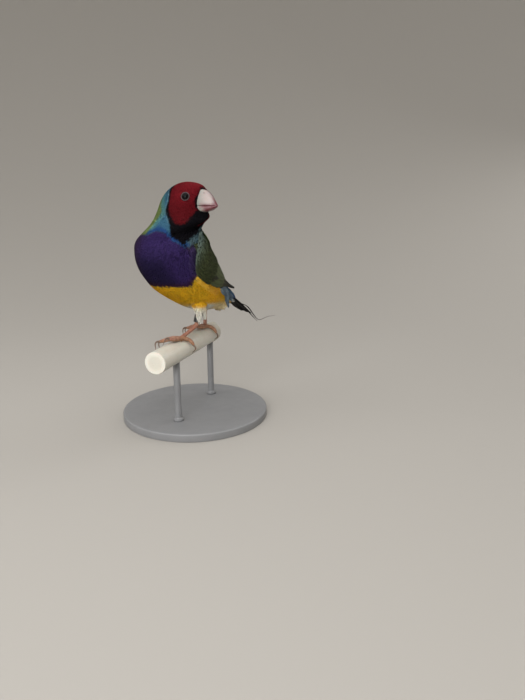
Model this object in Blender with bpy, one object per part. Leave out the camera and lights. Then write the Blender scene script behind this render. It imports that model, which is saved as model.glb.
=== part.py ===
"""Gouldian finch on a cut length of perch, held by a plain display stand.

Metres, +Z up. The bird's trunk heads along -Y and its own left side is +X. The origin is the
middle of the base's underside. All named sizes below are in millimetres, measured from the top
of the perch midway between the two feet; LIFT raises that point over the base.
"""

import math

import bmesh
import bpy
import numpy as np
from mathutils import Matrix, Vector
from mathutils.bvhtree import BVHTree

for old in list(bpy.data.objects):
    bpy.data.objects.remove(old)

MM = 0.001
GAP = 0.3  # clear space between neighbouring nodes

# display stand and perch
LIFT = 45.0  # top of the perch over the underside of the base
BASE_RADIUS = 38.0
BASE_HEIGHT = 4.0
BASE_BEVEL = 0.8
ROD_RADIUS = 1.7
ROD_AT = 21.0  # each rod's distance from the middle, along the perch
PERCH_RADIUS = 5.25
PERCH_TURN = 119.4  # degrees from +X, pointing at the capped end
PERCH_NEAR = -42.0  # cut end
PERCH_FAR = 25.2  # capped end
CAP_LENGTH = 6.0
CAP_OVER = 0.25
CAP_ROUND = 1.6

# trunk, neck and head: one surface through these sections, crown to tail base.
# X, Y, Z of the middle; tilt of the section's plane; turn of its front to the bird's left;
# then its radius to the front, to the back and to each side.
SECTIONS = {
    "crown": (3.0, -3.0, 74.3, 0, 107, 0.0, 0.0, 0.0),
    "brow": (2.8, -3.9, 71.4, 0, 107, 10.8, 7.6, 6.2),
    "eye": (2.7, -4.3, 66.5, 0, 107, 11.4, 12.2, 8.8),
    "cheek": (2.4, -5.4, 61.0, 2, 104, 12.3, 13.8, 10.4),
    "throat": (1.5, -7.2, 56.1, 8, 92, 15.8, 15.1, 13.2),
    "neck": (-0.4, -11.3, 51.2, 16, 60, 13.8, 14.9, 16.6),
    "shoulder": (-0.4, -12.7, 45.8, 26, 20, 18.0, 14.7, 17.2),
    "breast": (0.0, -9.2, 38.3, 36, 0, 18.0, 15.6, 17.9),
    "belly": (0.0, -6.9, 33.0, 43, 0, 15.8, 16.1, 18.2),
    "thigh": (0.0, -0.4, 26.0, 47, 0, 13.2, 14.9, 16.5),
    "flank": (0.0, 7.8, 19.8, 52, 0, 10.6, 11.4, 12.4),
    "vent": (0.0, 15.6, 16.6, 55, 0, 7.2, 6.6, 7.8),
    "tail_base": (0.0, 22.6, 13.8, 55, 0, 0.0, 0.0, 0.0),
}
NECK_TOP = 3.55  # where head, neck and trunk part, in sections from the crown
NECK_FOOT = 5.25
CUT = 0.075  # length of each parting cut, in sections
AROUND = 36  # points round a section

# bill, along the head's own front (f) and up (z)
BILL_ROOT = 6.5
BILL_TIP = 19.1
GAPE_Z = 63.2
CULMEN = ((6.5, 71.1), (10.5, 71.2), (13.4, 70.4), (15.5, 68.9), (17.2, 66.9), (18.5, 64.8), (19.1, 63.3))
KEEL = ((6.5, 59.6), (10.5, 59.7), (13.4, 60.1), (15.8, 60.9), (17.6, 61.9), (18.6, 62.6), (18.9, 62.95))
BILL_HALF_WIDTH = 4.15
NOSTRIL = (12.3, 1.7, 67.9)  # inner end, along the head's front, aside and up
NOSTRIL_WAY = (0.0, 3.0, 2.4)  # how it runs out
NOSTRIL_RADIUS = 0.45

# eyes
EYE_RADIUS = 2.05
EYE_ANGLE = 60.0
EYE_Z = 67.4
EYE_SINK = 1.0
EYE_SECTION_FALL = 5.2  # fall from one section to the next at the eye
LID_OUTLINE = ((0.0, 2.75), (0.85, 2.6), (1.3, 2.05), (1.3, 1.2), (0.0, 1.2))  # out of the head, radius
LID_FOOT = 0.1  # the lids' root over the eyeball's middle

# feet: where each pad stands round the perch (degrees from its top towards the bird's near side) and
# along it, the heel and where the bare leg goes on from it into the thigh, the thigh's points and
# radii, and those of the tuft of down that hangs from it behind the leg
FEET = {
    "left": dict(
        round=16.0,
        along=-19.0,
        heel=(8.05, -4.0, 5.1),
        knee=(8.0, -1.2, 14.6),
        thigh=((6.6, -1.0, 21.0, 5.4), (7.2, -1.2, 16.0, 4.2), (7.7, -1.6, 13.0, 3.0), (7.9, -2.0, 11.6, 2.0)),
        tuft=((7.6, -0.6, 15.5, 3.0), (8.6, 0.5, 11.4, 1.3), (9.0, 0.7, 7.8, 0.6)),
    ),
    "right": dict(
        round=20.0,
        along=10.0,
        heel=(-3.7, 11.0, 11.6),
        knee=(-4.2, 9.2, 14.5),
        thigh=((-5.4, 3.8, 21.0, 6.0), (-4.9, 7.8, 16.0, 4.6), (-4.3, 10.0, 12.6, 3.0), (-4.0, 10.8, 10.8, 1.6)),
        tuft=(),
    ),
}
TARSUS_RADIUS = 0.95
TOE_RADIUS = 0.95
PAD_RISE = 0.75
HEEL_BEND = 1.8  # how far from the heel the leg starts to turn
LEG_SIZES = (1.25, 1.0, 1.0, 1.1, 1.2, 1.3, 1.2, 1.1, 1.05)  # from foot to thigh, shares of TARSUS_RADIUS
TOES = {
    # turn from the bird's heading, length, and the share of the way by which it turns to wrap the perch
    "inner": (-26.0, 8.8, 0.2),
    "middle": (0.0, 11.4, 0.15),
    "outer": (22.0, 8.8, 0.2),
    "hind": (180.0, 8.6, 1.0),
}
TOE_SIZES = ((0.0, 1.1), (0.5, 1.0), (0.85, 0.9), (1.0, 0.72))  # share of the length, share of TOE_RADIUS
TOE_LIFT = 1.3  # the front toes' ends rise this far off the perch
CLAW_LENGTH = 4.6
CLAW_SIZES = (0.72, 0.64, 0.5, 0.32, 0.1)  # shares of TOE_RADIUS
CLAW_ARCH = 0.9
CLAW_DROP = 0.75
TOE_STEPS = 40
FOOT_TOP = 2.35  # the tarsus starts this far over the pad's middle
PAD_OUTLINE = ((0.0, 1.0), (0.5, 1.5), (1.4, 1.4), (2.55, 1.05))  # along the leg, radius
RING_OVER_HEEL = 3.6  # the leg ring's middle, up the leg from the heel
RING_RADIUS = 1.75
RING_HEIGHT = 3.7

# tail: a flat bundle of vanes hanging back and down
TAIL_ROOT = (0.0, 15.0, 24.0)
TAIL_DROP = 40.0
TAIL_VANES = 5  # each side, under the two long middle pins
TAIL_LENGTH = 31.0
TAIL_VANE_WIDTH = 4.4
TAIL_HALF_SPREAD = 2.7
TAIL_STEP = 0.42
TAIL_THICK = 0.55
TAIL_LIFT = -1.5  # the lowest vane's underside over the tail's middle plane
TAIL_SHORTER = 1.5  # each vane is this much shorter than the next one over it
TAIL_CORE = (
    # along the tail, half-width, half-height, rise of the middle
    (1.0, 3.4, 1.6, 0.0),
    (5.0, 3.8, 2.1, 0.3),
    (9.0, 3.6, 1.7, 0.5),
    (12.5, 2.8, 1.0, 0.4),
    (14.5, 1.6, 0.4, 0.2),
)
TAIL_COVERTS = (
    # start, end, sideways shift, angle, lift
    (2.0, 13.0, -1.4, -4.0, 0.9),
    (2.0, 13.0, 1.4, 4.0, 1.2),
    (2.0, 15.0, 0.0, 0.0, 1.5),
)
PIN_ROOT = (5.0, 0.6, 0.5)  # of the two long middle feathers: along the tail, aside, up
PIN_LEFT = ((0.0, 0.0), (12.0, 0.2), (22.0, 0.0), (28.5, -0.5))  # their lines: along the tail, up
PIN_RIGHT = ((0.0, 0.0), (14.0, 0.3), (21.0, 1.9), (26.5, 1.7))
HAIR = ((-0.6, 46.0, -0.3), (-0.6, 52.0, 0.0), (-0.6, 59.5, 0.1))  # the right one's bare shaft
PIN_LEFT_SIZES = ((0.0, 0.9), (0.3, 0.62), (0.6, 0.36), (1.0, 0.27))  # share of the line, radius
PIN_RIGHT_SIZES = ((0.0, 0.9), (0.3, 0.55), (0.6, 0.3), (1.0, 0.25))

# folded wings: the lower and the upper edge from shoulder to tip, first as (section, degrees round)
# and then as free points
WING_LOW = ((5.9, 90), (6.8, 87), (7.6, 81), (8.4, 83), (9.2, 92), (9.9, 108))
WING_HIGH = ((5.6, 132), (6.4, 160), (7.2, 173), (8.1, 175.5), (8.9, 176), (9.6, 176))
WING_LOW_END = ((4.6, 20.6, 20.6), (2.7, 25.2, 19.9))
WING_HIGH_END = ((1.1, 21.3, 23.2), (2.2, 25.6, 20.7))
WING_FLOOR = 0.52  # underside of the folded wing over the body
WING_BED = (0.8, 0.3, 0.3)  # of the bed under the vanes: length in u, least thickness, what it gains inwards
WING_INNER = 0.35  # neither wing comes closer than this to the middle
VANE_LEAN = 0.17  # how far a vane's outer edge rides over its neighbour
TIERS = {
    # each tier starts at (u, v) and its steps, ends at (u, v) and its steps, and rises from lift to lift
    "primary": dict(
        count=5, start=(0.46, 0.10), start_step=(0, 0.10), end=(1.0, 0.40), end_step=(-0.04, 0.05),
        width=4.4, lifts=(0.9, 1.15), lift_steps=(0.05, 0.14), thick=0.6, point=0.85, rows=6,
    ),
    "secondary": dict(
        count=4, start=(0.36, 0.10), start_step=(0, 0.15), end=(0.68, 0.12), end_step=(0.03, 0.17),
        width=6.2, lifts=(0.95, 1.5), lift_steps=(0, 0.04), thick=0.6, point=1.4, rows=6,
    ),
    "tertial": dict(
        count=3, start=(0.34, 0.62), start_step=(0, 0.12), end=(0.80, 0.68), end_step=(-0.06, 0.13),
        width=6.6, lifts=(1.0, 1.8), lift_steps=(0, 0.08), thick=0.65, point=1.4, rows=6,
    ),
    "greater": dict(
        count=6, start=(0.20, 0.08), start_step=(0, 0.155), end=(0.49, 0.07), end_step=(0, 0.165),
        width=6.0, lifts=(1.0, 1.95), lift_steps=(0, 0), thick=0.6, point=1.5, rows=5,
    ),
    "median": dict(
        count=5, start=(0.07, 0.12), start_step=(0, 0.19), end=(0.31, 0.10), end_step=(0, 0.20),
        width=6.6, lifts=(1.1, 2.15), lift_steps=(0, 0), thick=0.6, point=1.6, rows=5,
    ),
}


def spline(values, at):
    """Natural cubic spline through the rows of values, which stand at 0, 1, 2 ..., read at the places at."""
    values = np.asarray(values, float)
    count = len(values)
    system = np.eye(count) * 4
    system[0, 0] = system[-1, -1] = 1
    for i in range(1, count - 1):
        system[i, i - 1] = system[i, i + 1] = 1
    right = np.zeros_like(values)
    right[1:-1] = 6 * (values[2:] - 2 * values[1:-1] + values[:-2])
    bend = np.linalg.solve(system, right)
    at = np.asarray(at, float)
    i = np.clip(at.astype(int), 0, count - 2)
    t = (at - i)[..., None]
    u = 1 - t
    return u * values[i] + t * values[i + 1] + ((u**3 - u) * bend[i] + (t**3 - t) * bend[i + 1]) / 6


def body(s, phi, over=0.0):
    """Point of the body at s sections from the crown and phi round from the front towards the bird's left."""
    rows = np.array(list(SECTIONS.values()), float)
    rows[:, 5:] = rows[:, 5:] ** 2
    q = spline(rows, s)
    tilt = np.radians(q[..., 3])
    turn = np.radians(q[..., 4])
    front, back, side = (np.sqrt(np.maximum(q[..., k], 1e-6)) + over for k in (5, 6, 7))
    zero = np.zeros_like(tilt)
    down = np.stack([zero, -np.cos(tilt), -np.sin(tilt)], -1)
    left = np.stack([zero + 1, zero, zero], -1)
    ahead = down * np.cos(turn)[..., None] + left * np.sin(turn)[..., None]
    aside = -down * np.sin(turn)[..., None] + left * np.cos(turn)[..., None]
    reach = np.where(np.cos(phi) > 0, front, back) * np.cos(phi)
    return q[..., :3] + ahead * reach[..., None] + aside * (side * np.sin(phi))[..., None]


def head_point(f, side, z):
    """Point given along the head's front, to its left and in height."""
    turn = math.radians(SECTIONS["eye"][4])
    x, y = SECTIONS["eye"][:2]
    ahead = np.array([math.sin(turn), -math.cos(turn)])
    aside = np.array([math.cos(turn), math.sin(turn)])
    flat = np.array([x, y]) + f * ahead + side * aside
    return np.array([flat[0], flat[1], z])


MATERIALS = {}


def material(name, colour, roughness):
    if name not in MATERIALS:
        made = bpy.data.materials.new(name)
        made.use_nodes = True
        shader = made.node_tree.nodes["Principled BSDF"]
        shader.inputs["Base Color"].default_value = (*colour, 1)
        shader.inputs["Roughness"].default_value = roughness
        MATERIALS[name] = made
    return MATERIALS[name]


RED = ("red_mask", (0.32, 0.012, 0.012), 0.8)
GREEN = ("green_plumage", (0.03, 0.06, 0.012), 0.8)
PURPLE = ("purple_plumage", (0.035, 0.008, 0.10), 0.8)
BLACK = ("black_plumage", (0.01, 0.01, 0.012), 0.75)
WHITE = ("white_plumage", (0.65, 0.62, 0.56), 0.85)
BLUE = ("blue_plumage", (0.04, 0.18, 0.28), 0.8)
IVORY = ("bill_horn", (0.62, 0.52, 0.45), 0.4)
SKIN = ("leg_skin", (0.45, 0.20, 0.15), 0.6)
CLAW = ("claw_horn", (0.16, 0.12, 0.10), 0.45)
EYE = ("eye_black", (0.004, 0.003, 0.003), 0.1)
RING = ("ring_black", (0.01, 0.01, 0.01), 0.35)
PLASTIC = ("perch_plastic", (0.62, 0.60, 0.54), 0.4)
STAND = ("stand_grey", (0.25, 0.25, 0.26), 0.5)


def mesh_object(name, points, faces, look):
    """Object from points in millimetres over the perch and from triangles or quads, wound outwards."""
    mesh = bpy.data.meshes.new(name)
    points = (np.asarray(points, float) + (0, 0, LIFT)) * MM
    mesh.from_pydata(points.tolist(), [], [tuple(int(i) for i in face) for face in faces])
    made = bpy.data.objects.new(name, mesh)
    bpy.context.scene.collection.objects.link(made)
    made.data.materials.append(material(*look))
    work = bmesh.new()
    work.from_mesh(mesh)
    bmesh.ops.triangulate(work, faces=[f for f in work.faces if len(f.verts) > 3])
    bmesh.ops.recalc_face_normals(work, faces=work.faces)
    if work.calc_volume(signed=True) < 0:
        bmesh.ops.reverse_faces(work, faces=work.faces)
    work.to_mesh(mesh)
    work.free()
    mesh.shade_smooth()
    return made


def loft(name, rings, look):
    """Closed solid through rings of points (rows, around, 3); each end is filled from its middle."""
    rows, around = rings.shape[:2]
    points = list(rings.reshape(-1, 3)) + [rings[0].mean(0), rings[-1].mean(0)]
    first, last = rows * around, rows * around + 1
    faces = []
    for i in range(rows - 1):
        for j in range(around):
            k = (j + 1) % around
            a, b = i * around + j, i * around + k
            c, d = a + around, b + around
            faces += [(a, b, d), (a, d, c)]
    for j in range(around):
        k = (j + 1) % around
        faces.append((first, k, j))
        faces.append((last, (rows - 1) * around + j, (rows - 1) * around + k))
    return mesh_object(name, points, faces, look)


def body_loft(name, top, foot, rows, look, over=0.0, around=AROUND):
    """Solid of the body between two places, counted in sections from the crown; its rings draw closer
    together towards the crown and the tail, where it closes."""
    last = len(SECTIONS) - 1
    s = np.linspace(top, foot, rows)
    if top == 0:
        s = foot * (1 - np.cos(np.linspace(0.12, math.pi / 2, rows)))
        s[-1] = foot
    if foot == last:
        t = np.linspace(0, math.pi / 2 - 0.1, rows)
        s = top + (last - top) * (0.45 * np.sin(t) / np.sin(t[-1]) + 0.55 * t / t[-1]) * 0.9985
    phi = np.linspace(0, 2 * math.pi, around, endpoint=False)
    grid_s, grid_phi = np.meshgrid(s, phi, indexing="ij")
    return loft(name, body(grid_s, grid_phi, over), look)


def sweep(name, path, radii, look, sides=12):
    """Tube along a path, with one radius a point."""
    path = np.asarray(path, float)
    along = np.gradient(path, axis=0)
    along /= np.linalg.norm(along, axis=1)[:, None]
    up = np.array([0.0, 0, 1]) if abs(along[0, 2]) < 0.9 else np.array([0.0, 1, 0])
    side = np.cross(along[0], up)
    sides_at = []
    for way in along:
        side = side - way * np.dot(side, way)
        side = side / np.linalg.norm(side)
        sides_at.append(side)
    side = np.array(sides_at)
    rise = np.cross(side, along)
    phi = np.linspace(0, 2 * math.pi, sides, endpoint=False)
    ring = side[:, None] * np.cos(phi)[None, :, None] + rise[:, None] * np.sin(phi)[None, :, None]
    return loft(name, path[:, None] + ring * np.asarray(radii, float)[:, None, None], look)


def turned(name, start, direction, outline, look, sides=32):
    """Solid of revolution about a line; the outline lists (distance along the line, radius)."""
    direction = np.asarray(direction, float) / np.linalg.norm(direction)
    side = np.cross(direction, (0, 0, 1))
    if np.linalg.norm(side) < 0.1:
        side = np.array([1.0, 0, 0])
    side /= np.linalg.norm(side)
    rise = np.cross(side, direction)
    phi = np.linspace(0, 2 * math.pi, sides, endpoint=False)
    ring = side * np.cos(phi)[:, None] + rise * np.sin(phi)[:, None]
    rings = [np.asarray(start, float) + direction * t + ring * r for t, r in outline]
    return loft(name, np.array(rings), look)


def boolean(made, cutter, kind="DIFFERENCE"):
    """Applies one Boolean of an object, and removes that object."""
    step = made.modifiers.new(kind.lower(), "BOOLEAN")
    step.operation = kind
    step.solver = "EXACT"
    step.object = cutter
    settle(made)
    bpy.data.objects.remove(cutter)
    return made


def settle(made):
    """Applies an object's modifiers and keeps the largest closed surface."""
    bpy.context.view_layer.update()
    graph = bpy.context.evaluated_depsgraph_get()
    mesh = bpy.data.meshes.new_from_object(made.evaluated_get(graph))
    made.modifiers.clear()
    made.data = mesh
    work = bmesh.new()
    work.from_mesh(mesh)
    bmesh.ops.triangulate(work, faces=work.faces)
    left = set(work.verts)
    islands = []

    def span(verts):
        """Diagonal of a surface's box."""
        low = [min(v.co[k] for v in verts) for k in range(3)]
        high = [max(v.co[k] for v in verts) for k in range(3)]
        return math.dist(low, high)

    while left:
        todo = [left.pop()]
        found = set(todo)
        while todo:
            for edge in todo.pop().link_edges:
                for vert in edge.verts:
                    if vert not in found:
                        found.add(vert)
                        todo.append(vert)
        left -= found
        islands.append(found)
    keep = max(islands, key=span)
    bmesh.ops.delete(work, geom=[v for v in work.verts if v not in keep], context="VERTS")
    work.to_mesh(mesh)
    work.free()
    mesh.shade_smooth()
    return made


def union(made, others):
    """Fuses objects into the first one through one Boolean on a collection, then removes them."""
    group = bpy.data.collections.new(made.name + "_pieces")
    for other in others:
        group.objects.link(other)
    step = made.modifiers.new("fuse", "BOOLEAN")
    step.operation = "UNION"
    step.solver = "EXACT"
    step.use_self = True
    step.operand_type = "COLLECTION"
    step.collection = group
    settle(made)
    for other in others:
        bpy.data.objects.remove(other)
    bpy.data.collections.remove(group)
    return made


def body_clear(over=GAP):
    """The whole body swollen by the gap, for cutting neighbours free of it."""
    return body_loft("clear", 0, len(SECTIONS) - 1, 40, GREEN, over, 40)


def curve(points, t):
    """Smooth curve through points, read at t from 0 to 1."""
    points = np.asarray(points, float)
    return spline(points, np.asarray(t, float) * (len(points) - 1))


# ---------------------------------------------------------------- head, neck and trunk
body_loft("torso", NECK_FOOT + CUT, len(SECTIONS) - 1, 18, PURPLE)
body_loft("neck", NECK_TOP + CUT, NECK_FOOT, 7, GREEN)
HEAD = body_loft("head", 0, NECK_TOP, 13, RED)


def bill_half(name, profile, upper):
    """Half of the bill: an outline in profile, rounded across, flat along the mouth line."""
    line = curve(profile, np.linspace(0, 1, 9))
    along = (line[:, 0] - BILL_ROOT) / (BILL_TIP - BILL_ROOT)
    half = BILL_HALF_WIDTH * np.sqrt(np.maximum(1 - along**2.1, 0.004))
    rings = []
    phi = np.linspace(0, math.pi, 11)
    sign = 1 if upper else -1
    mouth = GAPE_Z + sign * GAP / 2
    for (f, z), wide in zip(line, half):
        tall = max(abs(z - mouth), 0.12)
        aside = wide * np.sign(np.cos(phi)) * np.abs(np.cos(phi)) ** 0.85
        up = mouth + sign * tall * np.sin(phi) ** 0.9
        rings.append([head_point(f, a, b) for a, b in zip(aside, up)])
    return loft(name, np.array(rings), IVORY)


boolean(bill_half("bill_lower", KEEL, False), body_clear())
bill = boolean(bill_half("bill_upper", CULMEN, True), body_clear())
for side in (-1, 1):
    f, out, z = NOSTRIL
    start = head_point(f, side * out, z)
    end = head_point(f + NOSTRIL_WAY[0], side * (out + NOSTRIL_WAY[1]), z + NOSTRIL_WAY[2])
    boolean(bill, turned("drill", start, end - start, ((0, NOSTRIL_RADIUS), (4, NOSTRIL_RADIUS)), IVORY, 10))


def eye_place(side):
    """Middle of the eyeball and its outward direction; side is 1 for the left."""
    s = 2.0 + (SECTIONS["eye"][2] - EYE_Z) / EYE_SECTION_FALL
    a = math.radians(EYE_ANGLE) * side
    at = body(np.array(s), np.array(a))
    near = body(np.array(s), np.array(a + 0.05)) - body(np.array(s), np.array(a - 0.05))
    rise = body(np.array(s - 0.05), np.array(a)) - body(np.array(s + 0.05), np.array(a))
    out = np.cross(near, rise)
    out /= np.linalg.norm(out)
    if np.dot(out, at - head_point(0, 0, EYE_Z)) < 0:
        out = -out
    return at - out * EYE_SINK, out


def eyeball(name, middle, out, radius):
    """Ball turned about the eye's own line of sight."""
    angles = np.linspace(0.2, math.pi - 0.2, 8)
    return turned(name, middle, out, [(-radius * math.cos(a), radius * math.sin(a)) for a in angles], EYE, 16)


for side, word in ((1, "left"), (-1, "right")):
    middle, out = eye_place(side)
    union(HEAD, [turned("lid", middle + out * LID_FOOT, out, LID_OUTLINE, RED, 16)])
    boolean(HEAD, eyeball("socket", middle, out, EYE_RADIUS + GAP))
    eyeball("eye_" + word, middle, out, EYE_RADIUS)

# ---------------------------------------------------------------- perch and stand
turn = math.radians(PERCH_TURN)
PERCH_WAY = np.array([math.cos(turn), math.sin(turn), 0.0])
PERCH_AXIS = np.array([0.0, 0.0, -PERCH_RADIUS])
cap = PERCH_RADIUS + CAP_OVER
outline = [(PERCH_NEAR, PERCH_RADIUS - 0.4), (PERCH_NEAR + 0.4, PERCH_RADIUS)]
outline += [(PERCH_FAR - CAP_LENGTH, PERCH_RADIUS), (PERCH_FAR - CAP_LENGTH + 0.25, cap)]
for a in np.linspace(0, math.pi / 2, 5):
    outline.append((PERCH_FAR - CAP_ROUND * (1 - math.sin(a)), cap - CAP_ROUND * (1 - math.cos(a))))
turned("perch", PERCH_AXIS, PERCH_WAY, outline, PLASTIC, 26)


def perch_clear():
    """The perch swollen by the gap, for cutting rods and feet free of it."""
    reach = PERCH_RADIUS + GAP + 0.02
    ends = ((PERCH_NEAR - 2, reach), (PERCH_FAR + 2, reach))
    return turned("perch_clear", PERCH_AXIS, PERCH_WAY, ends, PLASTIC, 60)


floor = -LIFT
base = [(0, BASE_RADIUS - BASE_BEVEL * 0.4), (BASE_BEVEL * 0.4, BASE_RADIUS)]
base += [(BASE_HEIGHT - BASE_BEVEL, BASE_RADIUS), (BASE_HEIGHT, BASE_RADIUS - BASE_BEVEL)]
turned("stand_base", (0, 0, floor), (0, 0, 1), base, STAND, 48)
for word, way in (("front", -1), ("rear", 1)):
    foot = PERCH_WAY * ROD_AT * way + (0, 0, floor + BASE_HEIGHT + GAP)
    tall = -PERCH_RADIUS - foot[2]
    shaft = [(0, ROD_RADIUS + 0.9), (1.2, ROD_RADIUS + 0.9), (2.0, ROD_RADIUS), (tall, ROD_RADIUS)]
    rod = turned("stand_rod_" + word, foot, (0, 0, 1), shaft, STAND, 16)
    boolean(rod, perch_clear())

# ---------------------------------------------------------------- legs and feet


def round_perch(turn_round, along, over):
    """Point at an angle round the perch from its top, a place along it and a height over its skin."""
    near = np.array([PERCH_WAY[1], -PERCH_WAY[0], 0.0])
    a = np.radians(turn_round)
    reach = np.asarray(PERCH_RADIUS + over, float)[..., None]
    side = near * np.sin(a)[..., None] + np.array([0, 0, 1.0]) * np.cos(a)[..., None]
    return PERCH_AXIS + PERCH_WAY * np.asarray(along, float)[..., None] + side * reach


def toe_path(spec, toe, heading, length, wrap):
    """Points along a toe and its claw, which follow the perch's skin: the toe leaves the pad along its
    heading and turns to wrap the perch by its share, and the claw arches over and comes down again."""
    near = np.array([PERCH_WAY[1], -PERCH_WAY[0]])
    a = math.radians(heading)
    way = np.array([math.sin(a), -math.cos(a)])
    go_round = float(way @ near)
    go_along = float(way @ PERCH_WAY[:2])
    step = (length + CLAW_LENGTH) / TOE_STEPS
    rounds, alongs, overs = [spec["round"]], [spec["along"]], [GAP + TOE_RADIUS]
    for k in range(TOE_STEPS):
        done = (k + 1) * step
        share = wrap * min(done / length, 1.0) ** 1.7
        turning = go_round * (1 - share) + math.copysign(1.0, go_round) * share
        sliding = go_along * (1 - share)
        size = math.hypot(turning, sliding)
        over = GAP + TOE_RADIUS * 1.02
        lift = 0.0 if toe == "hind" else TOE_LIFT
        over += lift * min(done / length, 1.0) ** 2
        if done > length:
            beyond = (done - length) / CLAW_LENGTH
            over += CLAW_ARCH * math.sin(math.pi * min(beyond * 1.25, 1.0)) - (CLAW_DROP + lift) * beyond**2
        rounds.append(rounds[-1] + math.degrees(step * turning / size / (PERCH_RADIUS + over)))
        alongs.append(alongs[-1] + step * sliding / size)
        overs.append(over)
    return round_perch(np.array(rounds), np.array(alongs), np.array(overs)), step


def make_foot(word, spec, pad, way):
    """A foot of three front toes and a hind one on one pad, and their four claws."""
    pieces = []
    for toe, (heading, length, wrap) in TOES.items():
        heading = heading if word == "left" or toe in ("middle", "hind") else -heading
        track, step = toe_path(spec, toe, heading, length, wrap)
        end = int(round(length / step))
        t = np.linspace(0, end, 7).astype(int)
        radii = TOE_RADIUS * np.interp(np.linspace(0, 1, 7), *zip(*TOE_SIZES))
        pieces.append(sweep("toe_" + toe, track[t], radii, SKIN, 8))
        start = end + max(1, int(math.ceil(GAP / step)))
        t = np.linspace(start, TOE_STEPS, len(CLAW_SIZES)).astype(int)
        claw = sweep(f"claw_{word}_{toe}", track[t], np.array(CLAW_SIZES) * TOE_RADIUS, CLAW, 6)
        boolean(claw, perch_clear())
    foot = pieces[0]
    foot.name = "foot_" + word
    union(foot, pieces[1:] + [turned("pad", pad - way * 0.5, way, PAD_OUTLINE, SKIN, 10)])
    boolean(foot, perch_clear())


def thigh_tubes(spec, over, sides):
    """The feathered thigh, swollen by a gap or not, as one tube or two."""
    tubes = []
    for spots in (spec["thigh"], spec["tuft"]):
        if spots:
            line = curve(spots, np.linspace(0, 1, 8))
            tubes.append(sweep("thigh", line[:, :3], line[:, 3] + over, WHITE, sides))
    return tubes


def thigh_clear(made, spec):
    """Cuts an object free of a thigh by the gap."""
    for tube in thigh_tubes(spec, GAP, 20):
        boolean(made, tube)


def make_leg(word, spec, low, heel):
    """The bare leg from the foot to the heel and on into the thigh, and the feathered thigh round its top."""
    knee = np.array(spec["knee"])
    down = (low - heel) / np.linalg.norm(low - heel)
    up = (knee - heel) / np.linalg.norm(knee - heel)
    first, last = heel + down * HEEL_BEND, heel + up * HEEL_BEND
    bend = [first * (1 - t) ** 2 + heel * 2 * t * (1 - t) + last * t**2 for t in (0.0, 0.25, 0.5, 0.75, 1.0)]
    path = np.array([low, low * 0.85 + first * 0.15, low * 0.2 + first * 0.8, *bend, knee])
    radii = np.array(LEG_SIZES) * TARSUS_RADIUS
    leg = sweep("leg_" + word, path, radii, SKIN, 10)
    boolean(bpy.data.objects["foot_" + word], sweep("clear", path[:5], radii[:5] + GAP, SKIN, 12))
    thigh, *tufts = thigh_tubes(spec, 0.0, 14)
    thigh.name = "thigh_" + word
    if tufts:
        union(thigh, tufts)
    boolean(thigh, body_clear())
    boolean(leg, body_clear())
    thigh_clear(leg, spec)


for word, spec in FEET.items():
    pad = round_perch(np.array(spec["round"]), np.array(spec["along"]), np.array(GAP + PAD_RISE))
    heel = np.array(spec["heel"])
    way = (heel - pad) / np.linalg.norm(heel - pad)
    make_foot(word, spec, pad, way)
    make_leg(word, spec, pad + way * FOOT_TOP, heel)

spec = FEET["left"]
heel = np.array(spec["heel"])
way = (np.array(spec["knee"]) - heel) / np.linalg.norm(np.array(spec["knee"]) - heel)
foot_of_ring = heel + way * (RING_OVER_HEEL - RING_HEIGHT / 2)
inner = TARSUS_RADIUS * 1.1 + GAP
ring = turned("leg_ring", foot_of_ring, way, ((0, RING_RADIUS), (RING_HEIGHT, RING_RADIUS)), RING, 24)
boolean(ring, turned("hole", foot_of_ring - way, way, ((0, inner), (RING_HEIGHT + 2, inner)), RING, 24))
thigh_clear(ring, spec)

# ---------------------------------------------------------------- wings and tail
smooth = body_loft("smooth", 0, len(SECTIONS) - 1, 90, GREEN, 0, 96)
TREE = BVHTree.FromPolygons(
    [tuple(v.co / MM - Vector((0, 0, LIFT))) for v in smooth.data.vertices],
    [tuple(p.vertices) for p in smooth.data.polygons],
)
bpy.data.objects.remove(smooth)


def drape(points, lift):
    """Moves points that lie inside the body, or less than lift over it, out to that lift."""
    flat = points.reshape(-1, 3)
    lifts = np.broadcast_to(lift, points.shape[:-1]).reshape(-1)
    out = flat.copy()
    for i, (p, h) in enumerate(zip(flat, lifts)):
        near, normal, _, _ = TREE.find_nearest(Vector(p))
        normal = np.array(normal)
        high = float(np.dot(p - np.array(near), normal))
        if high < h:
            out[i] = np.array(near) + normal * h
    return out.reshape(points.shape)


def wing_edge(marks, ends):
    """Points of a wing's edge: first on the body, then the free ones."""
    spots = [body(np.array(s), np.array(math.radians(p))) for s, p in marks]
    return np.array(spots + [np.array(e) for e in ends])


LOW_EDGE = wing_edge(WING_LOW, WING_LOW_END)
HIGH_EDGE = wing_edge(WING_HIGH, WING_HIGH_END)


def chord_point(u, v):
    """Point on the straight line from the wing's lower edge to its upper one."""
    share = np.asarray(v, float)[..., None]
    return curve(LOW_EDGE, np.clip(u, 0, 1)) * (1 - share) + curve(HIGH_EDGE, np.clip(u, 0, 1)) * share


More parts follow.
